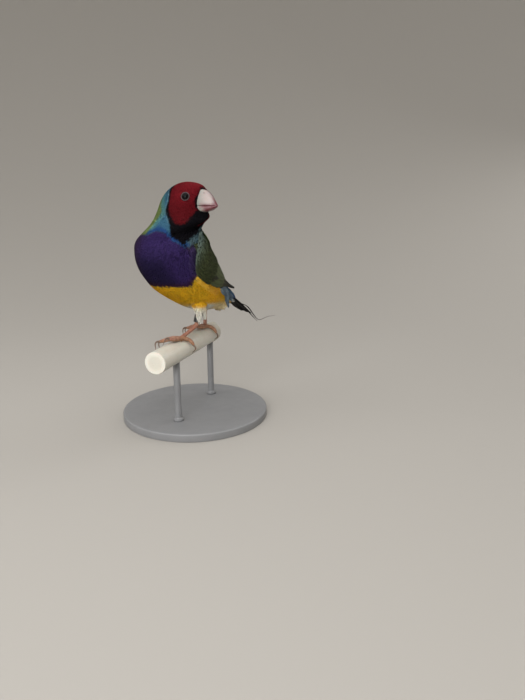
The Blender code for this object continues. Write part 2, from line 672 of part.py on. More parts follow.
def wing_points(u, v, lift):
    """Places on the folded wing: u from shoulder to tip, v from lower to upper edge, lift off the body."""
    points = chord_point(u, v)
    base = drape(points, 0.0)
    step = 0.01
    along = chord_point(u + step, v) - chord_point(u - step, v)
    out = np.cross(along, curve(HIGH_EDGE, u) - curve(LOW_EDGE, u))
    out /= np.maximum(np.linalg.norm(out, axis=-1), 1e-9)[..., None]
    away = base.reshape(-1, 3)
    normals = out.reshape(-1, 3).copy()
    for i, p in enumerate(away):
        near, normal, _, _ = TREE.find_nearest(Vector(p))
        gap = np.linalg.norm(p - np.array(near))
        if np.dot(normals[i], np.array(normal)) < 0:
            normals[i] = -normals[i]
        w = math.exp(-(gap / 2.0) ** 2)
        mixed = normals[i] * (1 - w) + np.array(normal) * w
        normals[i] = mixed / np.linalg.norm(mixed)
    lifts = np.broadcast_to(lift, points.shape[:-1])
    return base + normals.reshape(points.shape) * lifts[..., None]


def sheet(name, low, high, look):
    """Thin closed solid between two grids of points (rows, across, 3), cut into triangles alike on both."""
    rows, across = low.shape[:2]
    points = np.concatenate([low.reshape(-1, 3), high.reshape(-1, 3)])
    shift = rows * across
    faces = []
    for i in range(rows - 1):
        for j in range(across - 1):
            a = i * across + j
            b, c, d = a + 1, a + across, a + across + 1
            for tri in ((a, b, d), (a, d, c)):
                faces.append(tri)
                faces.append(tuple(k + shift for k in reversed(tri)))
    rim = [i for i in range(across)]
    rim += [i * across + across - 1 for i in range(1, rows)]
    rim += [(rows - 1) * across + j for j in range(across - 2, -1, -1)]
    rim += [i * across for i in range(rows - 2, 0, -1)]
    for a, b in zip(rim, rim[1:] + rim[:1]):
        faces += [(b, a, a + shift), (b, a + shift, b + shift)]
    return mesh_object(name, points, faces, look)


def vane_widths(t, point):
    """Half-width of a vane along its length, 1 at its widest; point makes the end more pointed."""
    rise = np.minimum(0.55 + 1.1 * t, 1.0)
    return rise * np.sqrt(np.maximum(1 - np.clip((t - 0.55) / 0.45, 0, 1) ** (2.2 / point), 0.012))


def wing_vane(name, start, end, width, lifts, thick, point, rows, across=3):
    """A vane lying on the wing, from (u, v) to (u, v); its top rises from the root's lift to the end's."""
    t = 1 - (1 - np.linspace(0, 1, rows)) ** 1.25
    side = np.linspace(-1, 1, across)
    u = start[0] + (end[0] - start[0]) * t
    v = start[1] + (end[1] - start[1]) * t
    half = width / 2 * vane_widths(t, point)
    span = np.linalg.norm(curve(HIGH_EDGE, u) - curve(LOW_EDGE, u), axis=-1)
    span = np.maximum(span, 3.0)
    grid_v = v[:, None] + side[None, :] * (half / span)[:, None]
    grid_u = np.repeat(u[:, None], across, 1)
    crown = 0.10 * (1 - side**2)[None, :]
    lean = -VANE_LEAN * side[None, :] * np.minimum(1, half / 2)[:, None]
    top = (lifts[0] + (lifts[1] - lifts[0]) * t)[:, None] + lean + crown
    low = wing_points(grid_u, grid_v, np.maximum(top - thick, WING_FLOOR + 0.06))
    high = wing_points(grid_u, grid_v, top)
    return sheet(name, low, high, GREEN)


def mesh_box(low, high):
    """Box between two corners."""
    corners = [(x, y, z) for x in (low[0], high[0]) for y in (low[1], high[1]) for z in (low[2], high[2])]
    faces = [(0, 1, 3, 2), (4, 6, 7, 5), (0, 4, 5, 1), (2, 3, 7, 6), (0, 2, 6, 4), (1, 5, 7, 3)]
    return mesh_object("box", corners, faces, GREEN)


def make_wing(word):
    """A folded wing: a thin bed draped on the body, and the tiers of vanes that lie over it."""
    length, least, more = WING_BED
    u, v = np.meshgrid(np.linspace(0, length, 12), np.linspace(0, 1, 7), indexing="ij")
    rim = np.clip(np.minimum(np.minimum(v, 1 - v) / 0.12, np.minimum(u, length - u) / 0.08), 0, 1)
    low = wing_points(u, v, WING_FLOOR + 0 * u)
    high = wing_points(u, v, WING_FLOOR + least + more * np.sqrt(rim))
    wing = sheet("wing_" + word, low, high, GREEN)
    vanes = []
    for name, tier in TIERS.items():
        for i in range(tier["count"]):
            start = np.array(tier["start"]) + i * np.array(tier["start_step"])
            end = np.array(tier["end"]) + i * np.array(tier["end_step"])
            lifts = np.array(tier["lifts"]) + i * np.array(tier["lift_steps"])
            shape = [tier[key] for key in ("thick", "point", "rows")]
            vanes.append(wing_vane(name, start, end, tier["width"], lifts, *shape))
    union(wing, vanes)
    boolean(wing, body_clear())
    boolean(wing, mesh_box((-20, -60, -10), (WING_INNER, 60, 90)))
    if word == "right":
        wing.data.transform(Matrix.Diagonal((-1, 1, 1, 1)))
        wing.data.flip_normals()


drop = math.radians(TAIL_DROP)
TAIL_BACK = np.array([0.0, math.cos(drop), -math.sin(drop)])
TAIL_UP = np.array([0.0, math.sin(drop), math.cos(drop)])
TAIL_SIDE = np.array([1.0, 0.0, 0.0])


def tail_place(aside, along, up):
    """Point of the tail: how far to the left, along it and over its middle plane."""
    aside, along, up = (value[..., None].astype(float) for value in np.broadcast_arrays(aside, along, up))
    return np.array(TAIL_ROOT) + aside * TAIL_SIDE + along * TAIL_BACK + up * TAIL_UP


def tail_vane(name, start, end, shift, angle, width, lift, thick, point, rows, look):
    """A straight tail vane: sideways shift and angle at the root, lift over the tail's middle plane."""
    t = 1 - (1 - np.linspace(0, 1, rows)) ** 1.25
    side = np.linspace(-1, 1, 3)
    half = width / 2 * vane_widths(t, point)
    a = math.radians(angle)
    along = (start + (end - start) * t)[:, None]
    x = shift + along * math.sin(a) + side[None, :] * half[:, None]
    crown = 0.35 * (1 - side**2)[None, :]
    level = lift - 0.06 * np.abs(x)
    low = tail_place(x, along * math.cos(a), level + 0.6 * crown)
    high = tail_place(x, along * math.cos(a), level + thick + crown)
    return sheet(name, low, high, look)


def pin(line, hair, sizes, side):
    """One of the two long middle feathers, which narrow to a bare shaft."""
    along, aside, up = PIN_ROOT
    spots = [tail_place(side * aside, along + a, up + b) for a, b in line] + [np.array(spot) for spot in hair]
    t = np.linspace(0, 1, 18)
    return sweep("pin", curve(spots, t), np.interp(t, *zip(*sizes)), BLACK, 8)


def make_tail():
    """The tail: its fleshy root, the stack of quills, the coverts over their roots and the two pins."""
    phi = np.linspace(0, 2 * math.pi, 14, endpoint=False)
    rings = [tail_place(w * np.cos(phi), along, rise + h * np.sin(phi)) for along, w, h, rise in TAIL_CORE]
    tail = loft("tail", np.array(rings), BLACK)
    pieces = []
    for i in range(TAIL_VANES):
        spread = TAIL_HALF_SPREAD * (1 - i / TAIL_VANES)
        reach = TAIL_LENGTH - TAIL_SHORTER * (TAIL_VANES - 1 - i)
        for side in (-1, 1):
            angle = side * math.degrees(spread * 0.75 / TAIL_LENGTH)
            shift = side * spread * 0.45
            lift = TAIL_LIFT + TAIL_STEP * i + (0.11 if side > 0 else 0)
            sizes = (TAIL_VANE_WIDTH, lift, TAIL_THICK, 0.8, 6)
            pieces.append(tail_vane("quill", 0, reach, shift, angle, *sizes, BLACK))
    for start, end, shift, angle, lift in TAIL_COVERTS:
        pieces.append(tail_vane("covert", start, end, shift, angle, 4.6, lift, 0.6, 1.3, 5, BLUE))
    pieces.append(pin(PIN_RIGHT, HAIR, PIN_RIGHT_SIZES, -1))
    pieces.append(pin(PIN_LEFT, (), PIN_LEFT_SIZES, 1))
    union(tail, pieces)
    boolean(tail, body_clear())


make_wing("left")
make_wing("right")
make_tail()
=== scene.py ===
"""A Gouldian finch on a cut length of perch and a plain display stand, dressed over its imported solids.

Places are in millimetres from the top of the perch, midway between the two feet. put() lifts them
into the model's frame, in metres. The bird heads along -Y and its own left side is +X.
"""

import math

import bpy
import numpy as np
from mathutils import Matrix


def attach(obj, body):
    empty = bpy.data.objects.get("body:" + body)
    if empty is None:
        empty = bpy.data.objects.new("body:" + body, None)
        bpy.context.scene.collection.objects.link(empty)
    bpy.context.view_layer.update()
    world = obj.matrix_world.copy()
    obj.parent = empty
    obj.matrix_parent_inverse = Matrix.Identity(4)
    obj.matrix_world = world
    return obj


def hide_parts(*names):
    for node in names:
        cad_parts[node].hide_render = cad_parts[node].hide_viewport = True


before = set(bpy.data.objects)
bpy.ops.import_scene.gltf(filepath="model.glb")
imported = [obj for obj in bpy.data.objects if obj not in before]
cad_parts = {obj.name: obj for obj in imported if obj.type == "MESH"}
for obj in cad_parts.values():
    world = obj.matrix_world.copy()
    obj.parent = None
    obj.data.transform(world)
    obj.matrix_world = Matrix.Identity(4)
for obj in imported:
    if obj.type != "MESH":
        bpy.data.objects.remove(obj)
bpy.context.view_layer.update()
bpy.context.scene.view_settings.view_transform = "Standard"

# ------------------------------------------------------------------------------ display stand
# A round steel plate turned to size, with two short rods pressed into it that carry the perch. Both
# are powder-coated in a dull grey, which leaves a fine orange-peel skin.
MM = 0.001
LIFT = 45.0  # top of the perch over the floor
BASE_RADIUS = 38.0
BASE_HEIGHT = 4.0
BASE_EDGE = 0.8  # rounding of the plate's upper edge
BASE_FOOT = 0.35  # and of its lower edge
ROD_RADIUS = 1.7
ROD_AT = 21.0  # each rod's distance from the middle, along the perch
ROD_SINK = 0.2  # how far its foot goes into the plate
ROD_TOP = 1.75  # how far its top lies below the perch's, in radii of the perch
COLLAR_HEIGHT = 1.2  # collar round the rod's foot
COLLAR_WIDTH = 0.9
COLLAR_EDGE = 0.3
COLLAR_FILLET = 0.8
PERCH_RADIUS = 5.25
PERCH_TURN = math.radians(119.4)  # from +X, pointing at the capped end
PERCH_WAY = np.array([math.cos(PERCH_TURN), math.sin(PERCH_TURN), 0.0])
PERCH_AXIS = np.array([0.0, 0.0, -PERCH_RADIUS])
GAP = 0.3  # clearance that keeps touching pieces apart
UP = np.array([0.0, 0.0, 1.0])


def srgb(red, green, blue):
    """Linear colour of one given in display steps from 0 to 255."""
    share = np.array([red, green, blue]) / 255
    return np.where(share < 0.04045, share / 12.92, ((share + 0.055) / 1.055) ** 2.4)


class Shade:
    """A number or colour inside a material; arithmetic on it adds the Math nodes."""

    def __init__(self, look, socket):
        self.look = look
        self.socket = socket

    def math(self, operation, first, second=0.0):
        return self.look.node("ShaderNodeMath", {"operation": operation}, {0: first, 1: second})

    def __add__(self, other):
        return self.math("ADD", self, other)

    def __sub__(self, other):
        return self.math("SUBTRACT", self, other)

    def __rsub__(self, other):
        return self.math("SUBTRACT", other, self)

    def __mul__(self, other):
        return self.math("MULTIPLY", self, other)

    __radd__ = __add__
    __rmul__ = __mul__

    def sine(self):
        return self.math("SINE", self)

    def size(self):
        return self.math("ABSOLUTE", self)

    def step(self, low, high):
        """Smooth rise from 0 at low to 1 at high."""
        kind = {"interpolation_type": "SMOOTHSTEP"}
        return self.look.node("ShaderNodeMapRange", kind, {"Value": self, "From Min": low, "From Max": high})


class Look:
    """A material with one Principled shader. node() adds any other node and gives one of its outputs."""

    def __init__(self, name, **constants):
        self.material = bpy.data.materials.new(name)
        self.material.use_nodes = True
        self.tree = self.material.node_tree
        self.shader = self.tree.nodes["Principled BSDF"]
        self.wear(**constants)

    def feed(self, socket, value):
        """Links a shade to a socket, or sets the socket to a number or colour."""
        if isinstance(value, Shade):
            self.tree.links.new(value.socket, socket)
        elif socket.type == "RGBA":
            socket.default_value = (*value, 1.0)
        else:
            socket.default_value = value

    def node(self, kind, settings, inputs, output=0):
        made = self.tree.nodes.new(kind)
        for key, value in settings.items():
            setattr(made, key, value)
        for key, value in inputs.items():
            self.feed(made.inputs[key], value)
        return Shade(self, made.outputs[output])

    def wear(self, **values):
        """Sets or links the shader's own sockets, named with underscores for spaces."""
        for key, value in values.items():
            self.feed(self.shader.inputs[key.replace("_", " ")], value)
        return self

    def place(self):
        """Place on the piece, in metres from the floor under the perch."""
        return self.node("ShaderNodeTexCoord", {}, {}, "Object")

    def tint(self):
        """The colour painted on the piece's own points."""
        return self.node("ShaderNodeAttribute", {"attribute_name": "tint"}, {}, "Color")

    def noise(self, scale, detail=2.0, place=None):
        """Cloudy noise about 0.5, with scale features a metre."""
        inputs = {"Vector": place or self.place(), "Scale": scale, "Detail": detail}
        return self.node("ShaderNodeTexNoise", {}, inputs)

    def mix(self, share, first, second):
        """One colour turned into another by a share of 0 to 1."""
        inputs = {"Factor": share, "A": first, "B": second}
        made = self.tree.nodes.new("ShaderNodeMix")
        made.data_type = "RGBA"
        for name, value in inputs.items():
            kind = "VALUE" if name == "Factor" else "RGBA"
            self.feed(next(s for s in made.inputs if s.name == name and s.type == kind), value)
        return Shade(self, next(s for s in made.outputs if s.type == "RGBA"))

    def scaled(self, colour, amount):
        """A colour made lighter or darker."""
        return self.node("ShaderNodeVectorMath", {"operation": "SCALE"}, {"Vector": colour, "Scale": amount})

    def bump(self, height, depth, strength):
        """Relief from a height of 0 to 1, depth millimetres deep."""
        inputs = {"Height": height, "Distance": depth * MM, "Strength": strength}
        return self.node("ShaderNodeBump", {}, inputs)


def put(name, points, faces, look):
    """Object from points (n, 3) in millimetres over the perch's top and a list of arrays of faces."""
    corners = np.concatenate([part.ravel() for part in faces])
    sizes = np.concatenate([np.full(len(part), part.shape[1]) for part in faces])
    mesh = bpy.data.meshes.new(name)
    mesh.vertices.add(len(points))
    mesh.vertices.foreach_set("co", ((points + (0, 0, LIFT)) * MM).astype(np.float32).ravel())
    mesh.loops.add(len(corners))
    mesh.loops.foreach_set("vertex_index", corners.astype(np.int32))
    mesh.polygons.add(len(sizes))
    mesh.polygons.foreach_set("loop_start", (np.cumsum(sizes) - sizes).astype(np.int32))
    mesh.update(calc_edges=True)
    mesh.shade_smooth()
    mesh.materials.append(look.material)
    made = bpy.data.objects.new(name, mesh)
    bpy.context.scene.collection.objects.link(made)
    return made


def ring_faces(rows, around, looped=False):
    """Quads that join each ring of a list of rings to the next, and the last to the first if looped."""
    i, j = np.meshgrid(np.arange(rows if looped else rows - 1), np.arange(around), indexing="ij")
    k, n = (j + 1) % around, (i + 1) % rows
    return np.stack([i * around + j, i * around + k, n * around + k, n * around + j], -1).reshape(-1, 4)


def joined(shells):
    """Several shells of rings (rows, around, 3) as one list of points and of faces, all facing outwards.

    The quads join each ring to the next, and triangles draw both ends to their middles.
    """
    points, quads, fans, first = [], [], [], 0
    for rings in shells:
        rows, around = rings.shape[:2]
        sides = ring_faces(rows, around)
        j = np.arange(around)
        k = (j + 1) % around
        last = (rows - 1) * around
        ends = [np.stack([k, j, j * 0 + rows * around], -1)]
        ends.append(np.stack([last + j, last + k, j * 0 + rows * around + 1], -1))
        ends = np.concatenate(ends)
        places = np.concatenate([rings.reshape(-1, 3), [rings[0].mean(0), rings[-1].mean(0)]])
        corners = [places[side] for side in (sides[:, :3], sides[:, [0, 2, 3]], ends)]
        bulk = sum(np.linalg.det(corner - places.mean(0)).sum() for corner in corners)
        if bulk < 0:
            sides, ends = sides[:, ::-1], ends[:, ::-1]
        points.append(places)
        quads.append(sides + first)
        fans.append(ends + first)
        first += len(places)
    return np.concatenate(points), [np.concatenate(quads), np.concatenate(fans)]


def round_turn(count):
    """Evenly spaced angles of a full turn."""
    return np.linspace(0, 2 * math.pi, count, endpoint=False)


def turned(start, way, outline, around):
    """Rings of a solid of revolution; the outline lists how far along the line and how far out."""
    way = np.asarray(way, float) / np.linalg.norm(way)
    side = np.cross(way, UP) if abs(way[2]) < 0.9 else np.array([1.0, 0.0, 0.0])
    side /= np.linalg.norm(side)
    turn = round_turn(around)[:, None]
    ring = side * np.cos(turn) + np.cross(side, way) * np.sin(turn)
    along, out = np.asarray(outline, float).T[:, :, None, None]
    return np.asarray(start, float) + way * along + ring * out


def arc(middle, radius, first, last, count):
    """Points of an arc in an outline, from one angle to another in degrees, 0 being straight along."""
    angle = np.radians(np.linspace(first, last, count))
    return [(middle[0] + radius * math.cos(a), middle[1] + radius * math.sin(a)) for a in angle]


coating = Look("powder_coat", Metallic=0.0, Specular_IOR_Level=0.4)
speckle = coating.noise(2600, 2)
grey = coating.mix(coating.noise(90, 3), srgb(118, 119, 121), srgb(132, 132, 133))
coating.wear(
    Base_Color=grey,
    Roughness=coating.noise(240, 2) * 0.16 + 0.36,
    Normal=coating.bump(speckle, 0.03, 0.5),
)
plate = [(0.0, BASE_RADIUS * share) for share in (0.2, 0.5, 0.8)]
plate += arc((BASE_FOOT, BASE_RADIUS - BASE_FOOT), BASE_FOOT, 180, 90, 4)
plate += arc((BASE_HEIGHT - BASE_EDGE, BASE_RADIUS - BASE_EDGE), BASE_EDGE, 90, 0, 8)
plate += [(BASE_HEIGHT, BASE_RADIUS * share) for share in (0.93, 0.8, 0.5, 0.2)]
stand_base = put("display_base", *joined([turned(-UP * LIFT, UP, plate, 192)]), coating)
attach(stand_base, "root")
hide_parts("stand_base")
tall = LIFT - BASE_HEIGHT - PERCH_RADIUS * ROD_TOP
collar = ROD_RADIUS + COLLAR_WIDTH
shaft = [(-ROD_SINK, collar)]
shaft += arc((COLLAR_HEIGHT - COLLAR_EDGE, collar - COLLAR_EDGE), COLLAR_EDGE, 90, 0, 4)
shaft += arc((COLLAR_HEIGHT + COLLAR_FILLET, ROD_RADIUS + COLLAR_FILLET), COLLAR_FILLET, 180, 270, 6)
shaft += [(tall * 0.5, ROD_RADIUS), (tall, ROD_RADIUS)]
for end, way in (("front", -1), ("rear", 1)):
    foot = PERCH_WAY * ROD_AT * way + UP * (BASE_HEIGHT - LIFT)
    rod = put("display_rod_" + end, *joined([turned(foot, UP, shaft, 48)]), coating)
    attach(rod, "root")
    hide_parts("stand_rod_" + end)

# ------------------------------------------------------------------------------ perch
# A length of off-white moulded plastic perch, sawn off at its near end and closed by a pressed-on
# cap at its far end. Claws have scuffed its crest and old droppings have dulled it in patches.
PERCH_NEAR = -42.0  # sawn end
PERCH_FAR = 25.2  # capped end
SAWN_EDGE = 0.3
CAP_AT = PERCH_FAR - 6.0  # where the tube goes into the cap
CAP_OVER = 0.25  # the cap's rim stands this far over the tube
CAP_RIM = 0.2  # rounding of that rim
CAP_ROUND = 1.6  # and of the cap's far edge
SEAM = 0.15  # depth of the groove between tube and cap

plastic = Look("perch_plastic", Specular_IOR_Level=0.45, Subsurface_Weight=0.08, Subsurface_Scale=0.002)
across = plastic.node("ShaderNodeMapping", {}, {"Vector": plastic.place(), "Rotation": (0, 0, -PERCH_TURN)})
drawn = plastic.node("ShaderNodeMapping", {}, {"Vector": across, "Scale": (0.06, 1.0, 1.0)})
scuffs = plastic.noise(1500, 3, drawn).step(0.60, 0.74)
dull = plastic.noise(70, 4).step(0.45, 0.75)
tone = plastic.mix(dull, srgb(202, 198, 186), srgb(188, 181, 165))
tone = plastic.mix(scuffs * 0.35, tone, srgb(172, 165, 148))
plastic.wear(
    Base_Color=tone,
    Roughness=scuffs * 0.2 + dull * 0.12 + 0.33,
    Normal=plastic.bump(scuffs * -0.7 + plastic.noise(420, 2), 0.03, 0.6),
)
tube = [(PERCH_NEAR, PERCH_RADIUS * 0.5), (PERCH_NEAR, PERCH_RADIUS - SAWN_EDGE)]
tube += arc((PERCH_NEAR + SAWN_EDGE, PERCH_RADIUS - SAWN_EDGE), SAWN_EDGE, 180, 90, 5)
tube += [(at, PERCH_RADIUS) for at in np.linspace(PERCH_NEAR + 1, CAP_AT - SEAM, 12)]
tube += [(CAP_AT + half, PERCH_RADIUS - SEAM) for half in (-SEAM / 3, SEAM / 3)]
rim = PERCH_RADIUS + CAP_OVER
tube += arc((CAP_AT + SEAM / 3 + CAP_RIM, rim - CAP_RIM), CAP_RIM, 180, 90, 5)
tube += arc((PERCH_FAR - CAP_ROUND, rim - CAP_ROUND), CAP_ROUND, 90, 0, 12)
tube += [(PERCH_FAR, (rim - CAP_ROUND) * 0.6)]
perch = put("plastic_perch", *joined([turned(PERCH_AXIS, PERCH_WAY, tube, 128)]), plastic)
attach(perch, "root")
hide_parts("perch")

# ------------------------------------------------------------------------------ skin
# The bird's own body under its feathers: head, neck, trunk and thighs as one skin, thinly covered
# with down in the colours of the feathers over it, so that no bare patch shows between them.
SECTIONS = {
    # x, y, z of the middle; tilt of the plane; turn of its front to the left; radius to front, back, side
    "crown": (3.0, -3.0, 74.3, 0, 107, 0.0, 0.0, 0.0),
    "brow": (2.8, -3.9, 71.4, 0, 107, 10.8, 7.6, 6.2),
    "eye": (2.7, -4.3, 66.5, 0, 107, 11.4, 12.2, 8.8),
    "cheek": (2.4, -5.4, 61.0, 2, 104, 12.3, 13.8, 10.4),
    "throat": (1.5, -7.2, 56.1, 8, 92, 15.8, 15.1, 13.2),
    "neck": (-0.4, -11.3, 51.2, 16, 60, 13.8, 14.9, 16.6),
    "shoulder": (-0.4, -12.7, 45.8, 26, 20, 18.0, 14.7, 17.2),
    "breast": (0.0, -9.2, 38.3, 36, 0, 18.0, 15.6, 17.9),
    "belly": (0.0, -6.9, 33.0, 43, 0, 15.8, 16.1, 18.2),
    "thigh": (0.0, -0.4, 26.0, 47, 0, 13.2, 14.9, 16.5),
    "flank": (0.0, 7.8, 19.8, 52, 0, 10.6, 11.4, 12.4),
    "vent": (0.0, 15.6, 16.6, 55, 0, 7.2, 6.6, 7.8),
    "tail_base": (0.0, 22.6, 13.8, 55, 0, 0.0, 0.0, 0.0),
}
TAIL_END = len(SECTIONS) - 1
DOWN_DEPTH = (0.45, 0.6, 0.9, 0.9)  # depth of the coat at the sections named below
DOWN_AT = (0.0, 3.5, 6.0, 12.0)
THIGHS = {
    # x, y, z and radius from the trunk to the heel, and of the tuft of down behind the left one
    "left": ((6.6, -1.0, 21.0, 5.4), (7.2, -1.2, 16.0, 4.2), (7.7, -1.6, 13.0, 3.0), (7.9, -2.0, 11.6, 2.0)),
    "right": ((-5.4, 3.8, 21.0, 6.0), (-4.9, 7.8, 16.0, 4.6), (-4.3, 10, 12.6, 3.0), (-4, 10.8, 10.8, 1.6)),
    "tuft": ((7.6, -0.6, 15.5, 3.0), (8.6, 0.5, 11.4, 1.3), (9.0, 0.7, 7.8, 0.6)),
}
TAIL_STUB = ((0.0, 13.0, 22.5, 3.0), (0.0, 17.0, 21.8, 2.4), (0.0, 22.0, 18.2, 1.8), (0.0, 26.0, 14.9, 0.7))
SIDE_OF_TUBE = (0.0, 1.0, 0.15)  # a way that no limb runs, from which its rings are turned
SKIN_UNDER = 0.7  # how far the thighs' skin lies under their down
# the down is painted darker than the feathers over it, as shade under them
SKIN_SHADE = 0.8  # tone of the down against the feathers over it
VOXEL = 0.4  # mesh width of the skin once its parts are melted into one


def spline(values, at):
    """Natural cubic spline through rows of values at 0, 1, 2 ..., read at the places at."""
    values = np.asarray(values, float)
    count = len(values)
    system = np.eye(count) * 4 + np.eye(count, k=1) + np.eye(count, k=-1)
    system[0] = np.eye(count)[0]
    system[-1] = np.eye(count)[-1]
    right = np.zeros_like(values)
    right[1:-1] = 6 * (values[2:] - 2 * values[1:-1] + values[:-2])
    bend = np.linalg.solve(system, right)
    at = np.asarray(at, float)
    i = np.clip(at.astype(int), 0, count - 2)
    t = (at - i)[..., None]
    u = 1 - t
    return u * values[i] + t * values[i + 1] + ((u**3 - u) * bend[i] + (t**3 - t) * bend[i + 1]) / 6


def body(s, phi, over=0.0):
    """Point of the body: a half ellipse to the front and one to the back of the middle of section s,
    whose size, place, tilt and turn come from splines through SECTIONS. The angle phi runs from its
    front to the left, and over lifts the point off the body."""
    rows = np.array(list(SECTIONS.values()), float)
    rows[:, 5:] = rows[:, 5:] ** 2
    q = spline(rows, s)
    tilt = np.radians(q[..., 3])
    turn = np.radians(q[..., 4])[..., None]
    front, back, side = (np.sqrt(np.maximum(q[..., k], 1e-6)) + over for k in (5, 6, 7))
    down = np.stack([tilt * 0, -np.cos(tilt), -np.sin(tilt)], -1)
    left = np.array([1.0, 0.0, 0.0])
    ahead = down * np.cos(turn) + left * np.sin(turn)
    aside = left * np.cos(turn) - down * np.sin(turn)
    reach = np.where(np.cos(phi) > 0, front, back) * np.cos(phi)
    return q[..., :3] + ahead * reach[..., None] + aside * (side * np.sin(phi))[..., None]


def surface(a, b, over=0.0):
    """The body again, on the plane in which the crown is the middle: s is the square of the distance
    from it and phi the angle round it, so that nothing bunches up at the crown."""
    return body(a * a + b * b, np.arctan2(b, a), over)


def unit(vectors):
    """Vectors brought to a length of 1."""
    return vectors / np.maximum(np.linalg.norm(vectors, axis=-1, keepdims=True), 1e-9)


def dot(first, second):
    """Share of one vector along the other, kept as a last axis of 1."""
    return (first * second).sum(-1, keepdims=True)


def rise(low, high, x):
    """0 below low, 1 above high, and a smooth rise between them."""
    t = np.clip((np.asarray(x, float) - low) / (high - low), 0, 1)
    return t * t * (3 - 2 * t)


HEAD_TURN = math.radians(SECTIONS["eye"][4])
HEAD_MIDDLE = np.array([*SECTIONS["eye"][:2], 0.0])
HEAD_AHEAD = np.array([math.sin(HEAD_TURN), -math.cos(HEAD_TURN), 0.0])
HEAD_ASIDE = np.array([math.cos(HEAD_TURN), math.sin(HEAD_TURN), 0.0])


def head_place(f, side, z):
    """Place given along the head's front, to its left and in height."""
    f, side, z = (np.asarray(x, float)[..., None] for x in (f, side, z))
    return HEAD_MIDDLE + HEAD_AHEAD * f + HEAD_ASIDE * side + UP * z


def in_head(points):
    """How far each point lies along the head's front, to its left and up."""
    apart = points - HEAD_MIDDLE
    return apart @ HEAD_AHEAD, apart @ HEAD_ASIDE, points[..., 2]


# plumage colours
MASK_RED = srgb(112, 18, 28)
MASK_DARK = srgb(88, 10, 18)
JET = srgb(8, 6, 12)
TURQUOISE = srgb(94, 146, 146)
TURQUOISE_DEEP = srgb(66, 112, 138)
SEA_PALE = srgb(140, 176, 186)
SEA_GREY = srgb(84, 108, 116)
COLLAR_BLUE = srgb(38, 74, 130)
# the nape's lighter yellow-green is a painted highlight of rim light
NAPE_GREEN_LIT = srgb(120, 140, 82)
MANTLE_GREEN = srgb(72, 84, 48)
WING_OLIVE = srgb(46, 48, 32)
VIOLET = srgb(54, 39, 90)
# darker violet for the painted shade low on the breast
VIOLET_SHADED = srgb(30, 24, 56)
# duller, browner violet for a painted sheen on the breast
VIOLET_BROWN_SHEEN = srgb(56, 38, 64)
VIOLET_RUST = srgb(66, 32, 44)
YELLOW = srgb(250, 198, 42)
YELLOW_DEEP = srgb(232, 178, 32)
# yellow of the flanks where painted light falls on them
YELLOW_FLANK_LIT = srgb(255, 192, 44)
YELLOW_PALE = srgb(252, 222, 142)
VENT_WHITE = srgb(246, 243, 232)
RUMP_BLUE = srgb(142, 160, 168)

# borders between them: how high, or how far along the head's front, each lies, and where
MASK_BACK = (
    (53.0, 54.0, 55.1, 55.5, 57.0, 58.3, 60.1, 61.8, 63.6, 68.1, 70.9),
    (30, 12, 7.3, 5, 3, 1.3, -0.2, -1.4, -1.7, -2.3, -2.8),
)
MASK_LOW = ((-12.6, -11.4, -9.7, -7.4, -5.4, 4.0), (55.3, 56.4, 57.9, 59.7, 61.0, 61.8))
JET_BACK = (
    (55.7, 57.8, 60.0, 61.4, 63.6, 65.9, 68.1, 70.8, 75.0),
    (1.9, -0.5, -2.4, -3.3, -3.1, -2.8, -3.3, -4.6, -5.6),
)
NAPE_EDGE = ((45, 54, 55.9, 57.7, 60.4, 63.6, 67.5, 75), (-11.5, -9.4, -8.6, -7.3, -5.9, -8.1, -9.7, -12))
BIB_EDGE = (
    # degrees round the neck from its front, and height
    (0, 20, 26, 32, 41.5, 49, 51, 52.7, 59, 65.3, 67.5, 73, 76, 76.5, 81, 91.6, 108, 128, 150, 180),
    (66, 62.9, 61.4, 60, 57.8, 55.5, 50.6, 49.5, 48.4, 48)
    + (46.7, 45.35, 46.4, 47.5, 47.9, 49.8, 51.4, 54, 58, 66),
)
BREAST_TOP = (
    (-180, -100, -75, -45, -10, 1.4, 6.5, 16, 30, 41, 46.5, 53.5, 63, 68.3, 76.4, 81.8, 86, 98, 120, 180),
    (36, 43, 47.5, 49.8, 50.3, 50.2, 50.8, 52, 51.9, 51.3)
    + (50, 48.2, 46.9, 45.4, 45.1, 45.7, 46.7, 46, 40, 36),
)
BELLY_TOP = 26.2  # height of the yellow in front, under the violet
FLANK_TOP = (27.5, 0.62)  # its height at the side, and how steeply it falls towards the tail
VENT_TOP = (16.6, 0.12)  # the same for the white
NECK_Y = -10.0  # the neck's middle, round which bib and breast are measured
BROWN_SPOT = np.array([16.4, -12.6, 44.6])  # a brownish patch at the shoulder
BROWN_SPOT_SIZE = 1.5
SPOT_BROWN = srgb(84, 68, 60)


def laid(under, over, share):
    """A colour with another laid over it by a share of 0 to 1."""
    return under + (over - under) * share[..., None]


